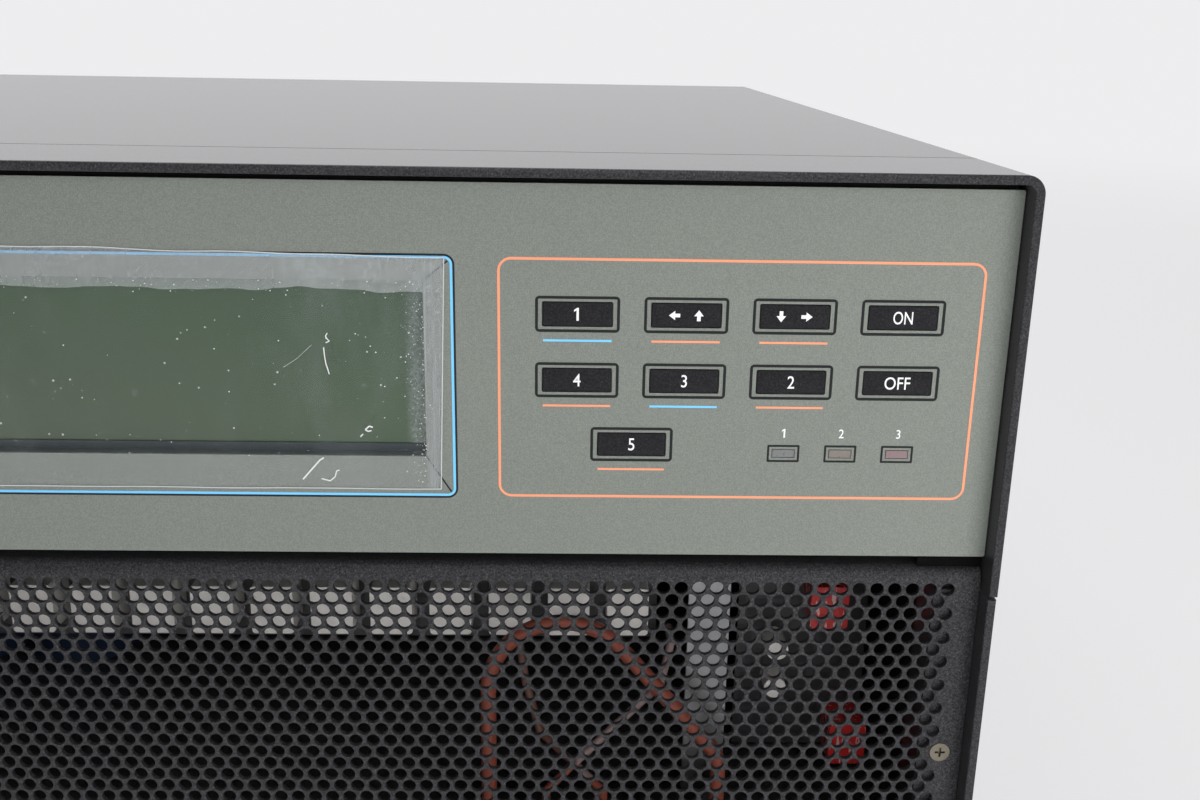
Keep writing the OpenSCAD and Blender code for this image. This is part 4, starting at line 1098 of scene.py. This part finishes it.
def makeFilmMarks(rim):
    mesh = Mesher()
    outline = [(point.x, point.z) for point in rim]
    # the pale strip along the film's edge: painted highlight
    for a, b in zip(outline[::3], outline[3::3] + outline[:1]):
        if math.dist(a, b) < film["rimReach"] * mm:
            stroke(mesh, [a, b], film["rim"] * mm, film["rimThick"] * mm)
    mesh.build("display_film_edge_highlight", "film_edge")
    mesh = Mesher()
    # pale strips for the creases' glints (painted highlights) and the scratches; then the dust
    for width, *points in film["creaseGlintsAndScratches"]:
        stroke(mesh, [spot(*point) for point in points], width * mm, film["markThick"] * mm)
    chance = random.Random(7)
    right, top = spot(printing["windowRight"], printing["windowTop"])
    bottom = spot(0, printing["windowBottom"])[1]
    beside, along, anywhere = film["dust"]
    sideSpread, topSpread = film["dustSpread"]
    for index in range(beside + along + anywhere):
        x = chance.uniform(-right, right)
        z = chance.uniform(bottom - film["dustBelow"] * mm, top)
        if index < beside:
            x = (right - abs(chance.gauss(0, sideSpread)) * mm) * chance.choice((-1, 1))
        elif index < beside + along:
            z = top - abs(chance.gauss(0, topSpread)) * mm
        size = chance.choice(film["dustSizes"]) * mm
        turn = chance.uniform(0, 1)
        loop = [(x + size * (1 + 0.4 * (k % 2)) * math.cos(turn + k * math.pi / 3),
                 z + size * math.sin(turn + k * math.pi / 3)) for k in range(6)]
        depth = filmDepth(x, z) - film["thick"] * mm
        mesh.prism(loop, depth - film["dustThick"] * mm, depth)
    mesh.build("display_film_dust_and_glints", "film_mark")


makeFilmMarks(makeFilm())


# The dark strip of the display's frame that shows below the lit field; lengths in mm
displayMask = {"top": 60.4, "bottom": 64.0, "half": 74.3, "front": 8.6, "back": 8.95,
               "radius": 0.4}


def makeDisplayMask():
    _, top = spot(0, displayMask["top"])
    _, bottom = spot(0, displayMask["bottom"])
    wide = 2 * displayMask["half"] * mm
    loop = roundedLoop(0, (top + bottom) / 2, wide, top - bottom, displayMask["radius"] * mm, 3)
    front, back = (frameLow.y + displayMask[side] * mm for side in ("front", "back"))
    mesh = Mesher()
    mesh.prism(loop, front, back)
    mesh.build("display_mask", "display_metal")


makeDisplayMask()


# Near-black strips close the seam above the panel, and the one below it at both ends, so that the
# gaps show black: painted shade; lengths in mm
seamShadeStrip = {
    "half": 196.0,
    "shell": 2.0,
    "gap": 0.1,  # between the strip and what it closes
    "thick": 0.85,
    "ends": (183.0, 197.4),  # from the middle of the case
    "endsBack": 0.2,
    "radius": 0.3,
}


def makeSeamShade():
    thick, radius, gap = (seamShadeStrip[key] * mm for key in ("thick", "radius", "gap"))
    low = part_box("front_plate")[1].z + gap
    high = caseTop - seamShadeStrip["shell"] * mm - gap
    mesh = Mesher()
    wide = 2 * seamShadeStrip["half"] * mm
    loop = roundedLoop(0, (low + high) / 2, wide, high - low, radius, 2)
    mesh.prism(loop, foilBack, foilBack + thick)
    mesh.build("seam_shade_strip", "seam_foam")
    mesh = Mesher()
    low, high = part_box("front_grille")[1].z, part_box("front_plate")[0].z
    inner, outer = seamShadeStrip["ends"]
    for sign in (1, -1):
        loop = roundedLoop(sign * (inner + outer) / 2 * mm, (low + high) / 2,
                           (outer - inner) * mm, high - low - 2 * gap, radius, 2)
        mesh.prism(loop, foilBack + seamShadeStrip["endsBack"] * mm, foilBack + thick)
    mesh.build("seam_shade_ends", "seam_foam")


makeSeamShade()
print("film made")


# The surroundings: a pale room, a floor that keeps the shadow, and the lamps; lengths in m
studio = {
    "floorSize": 14.0,
    "floor": rgb(0.86, 0.86, 0.87),
    "floorTone": 0.985,  # of its darker patches
    "background": rgb(0.85, 0.845, 0.86),
    "worldLight": 0.27,
    "frontRoom": 0.25,  # how bright the room in front of the case is, as gloss shows it
    "frontTurn": (-0.35, 0.1),  # where the room gets brighter towards the rear
    "plain": 0.78,  # share of the plain background tone in the floor near the case
    "plainReach": (0.5, 2.6),  # where that share rises to all of it
    "aim": (0.08, 0.6),  # to the right of the middle, and as a share of the height
    "lamps": [  # name, place, size, watts, whether gloss mirrors it
        ("softboxFront", (0.2, -1.2, 0.62), 0.6, 1.4, True),
        ("softboxLens", (0.1, -0.72, 0.325), 0.2, 0.75, False),
        ("softboxRight", (0.36, -0.56, 0.07), 0.26, 1.2, False),
        ("softboxTop", (-0.2, -0.1, 1.6), 1.4, 13.0, True),
        ("softboxBack", (-0.35, 1.7, 0.9), 0.9, 9.0, False),
    ],
}


def seenRays(field):  # 1 for rays that show the surroundings, 0 for those that only light
    rays = [field.node("LightPath", out=out) for out in
            ("Is Camera Ray", "Is Glossy Ray", "Is Transmission Ray")]
    return field.maths("MAXIMUM", rays[0], field.maths("MAXIMUM", rays[1], rays[2]))


def makeWorld():
    world = bpy.data.worlds.new("studio")
    bpy.context.scene.world = world
    world.use_nodes = True
    field = Field(world.node_tree)
    background = world.node_tree.nodes["Background"]
    background.inputs["Color"].default_value = studio["background"]
    behind = field.node("SeparateXYZ", values={0: places(field)}, out=1)
    behind = behind.soft(*studio["frontTurn"])
    direct = field.node("LightPath", out="Is Camera Ray")
    glossy = behind * (1 - studio["frontRoom"]) + studio["frontRoom"]
    room = field.maths("MAXIMUM", direct, glossy)
    seen = seenRays(field)
    strength = seen * room + (1 - seen) * studio["worldLight"]
    world.node_tree.links.new(strength.socket, background.inputs["Strength"])


def makeFloor():
    size = studio["floorSize"] / 2
    data = bpy.data.meshes.new("floor")
    corners = [(-size, -size, 0), (size, -size, 0), (size, size, 0), (-size, size, 0)]
    data.from_pydata(corners, [], [(0, 1, 2, 3)])
    floor = bpy.data.objects.new("floor", data)
    bpy.context.scene.collection.objects.link(floor)
    made, ground = newMaterial("paleFloor", Roughness=0.8, Specular_IOR_Level=0.2)
    patches = grain(ground, 3.0, 2.0)
    between(patches, studio["floor"], (studio["floorTone"], 1.0)).into("Base Color")
    tree = made.node_tree
    glow = ground.node("Emission", values={"Color": studio["background"], "Strength": 1.0})
    away = ground.node("VectorMath", {"operation": "LENGTH"}, {0: places(ground)}, 1)
    away = away.soft(*studio["plainReach"])
    plain = seenRays(ground) * (away * (1 - studio["plain"]) + studio["plain"])
    blend = ground.node("MixShader", values={0: plain, 2: glow}).socket
    tree.links.new(tree.nodes["Principled BSDF"].outputs[0], blend.node.inputs[1])
    tree.links.new(blend, tree.nodes["Material Output"].inputs["Surface"])
    data.materials.append(made)


def makeLamps():
    aimX, aimShare = studio["aim"]
    for name, place, width, watts, shines in studio["lamps"]:
        light = bpy.data.lights.new(name, "AREA")
        light.shape, light.size, light.energy = "SQUARE", width, watts
        lamp = bpy.data.objects.new(name, light)
        bpy.context.scene.collection.objects.link(lamp)
        lamp.location, lamp.visible_glossy = place, shines
        target = Vector((aimX, math.copysign(frameLow.y, place[1]), caseTop * aimShare))
        aim = target - Vector(place)
        lamp.rotation_euler = aim.to_track_quat("-Z", "Y").to_euler()


makeWorld()
makeFloor()
makeLamps()
bpy.context.scene.view_settings.view_transform = "Standard"
print("studio made")
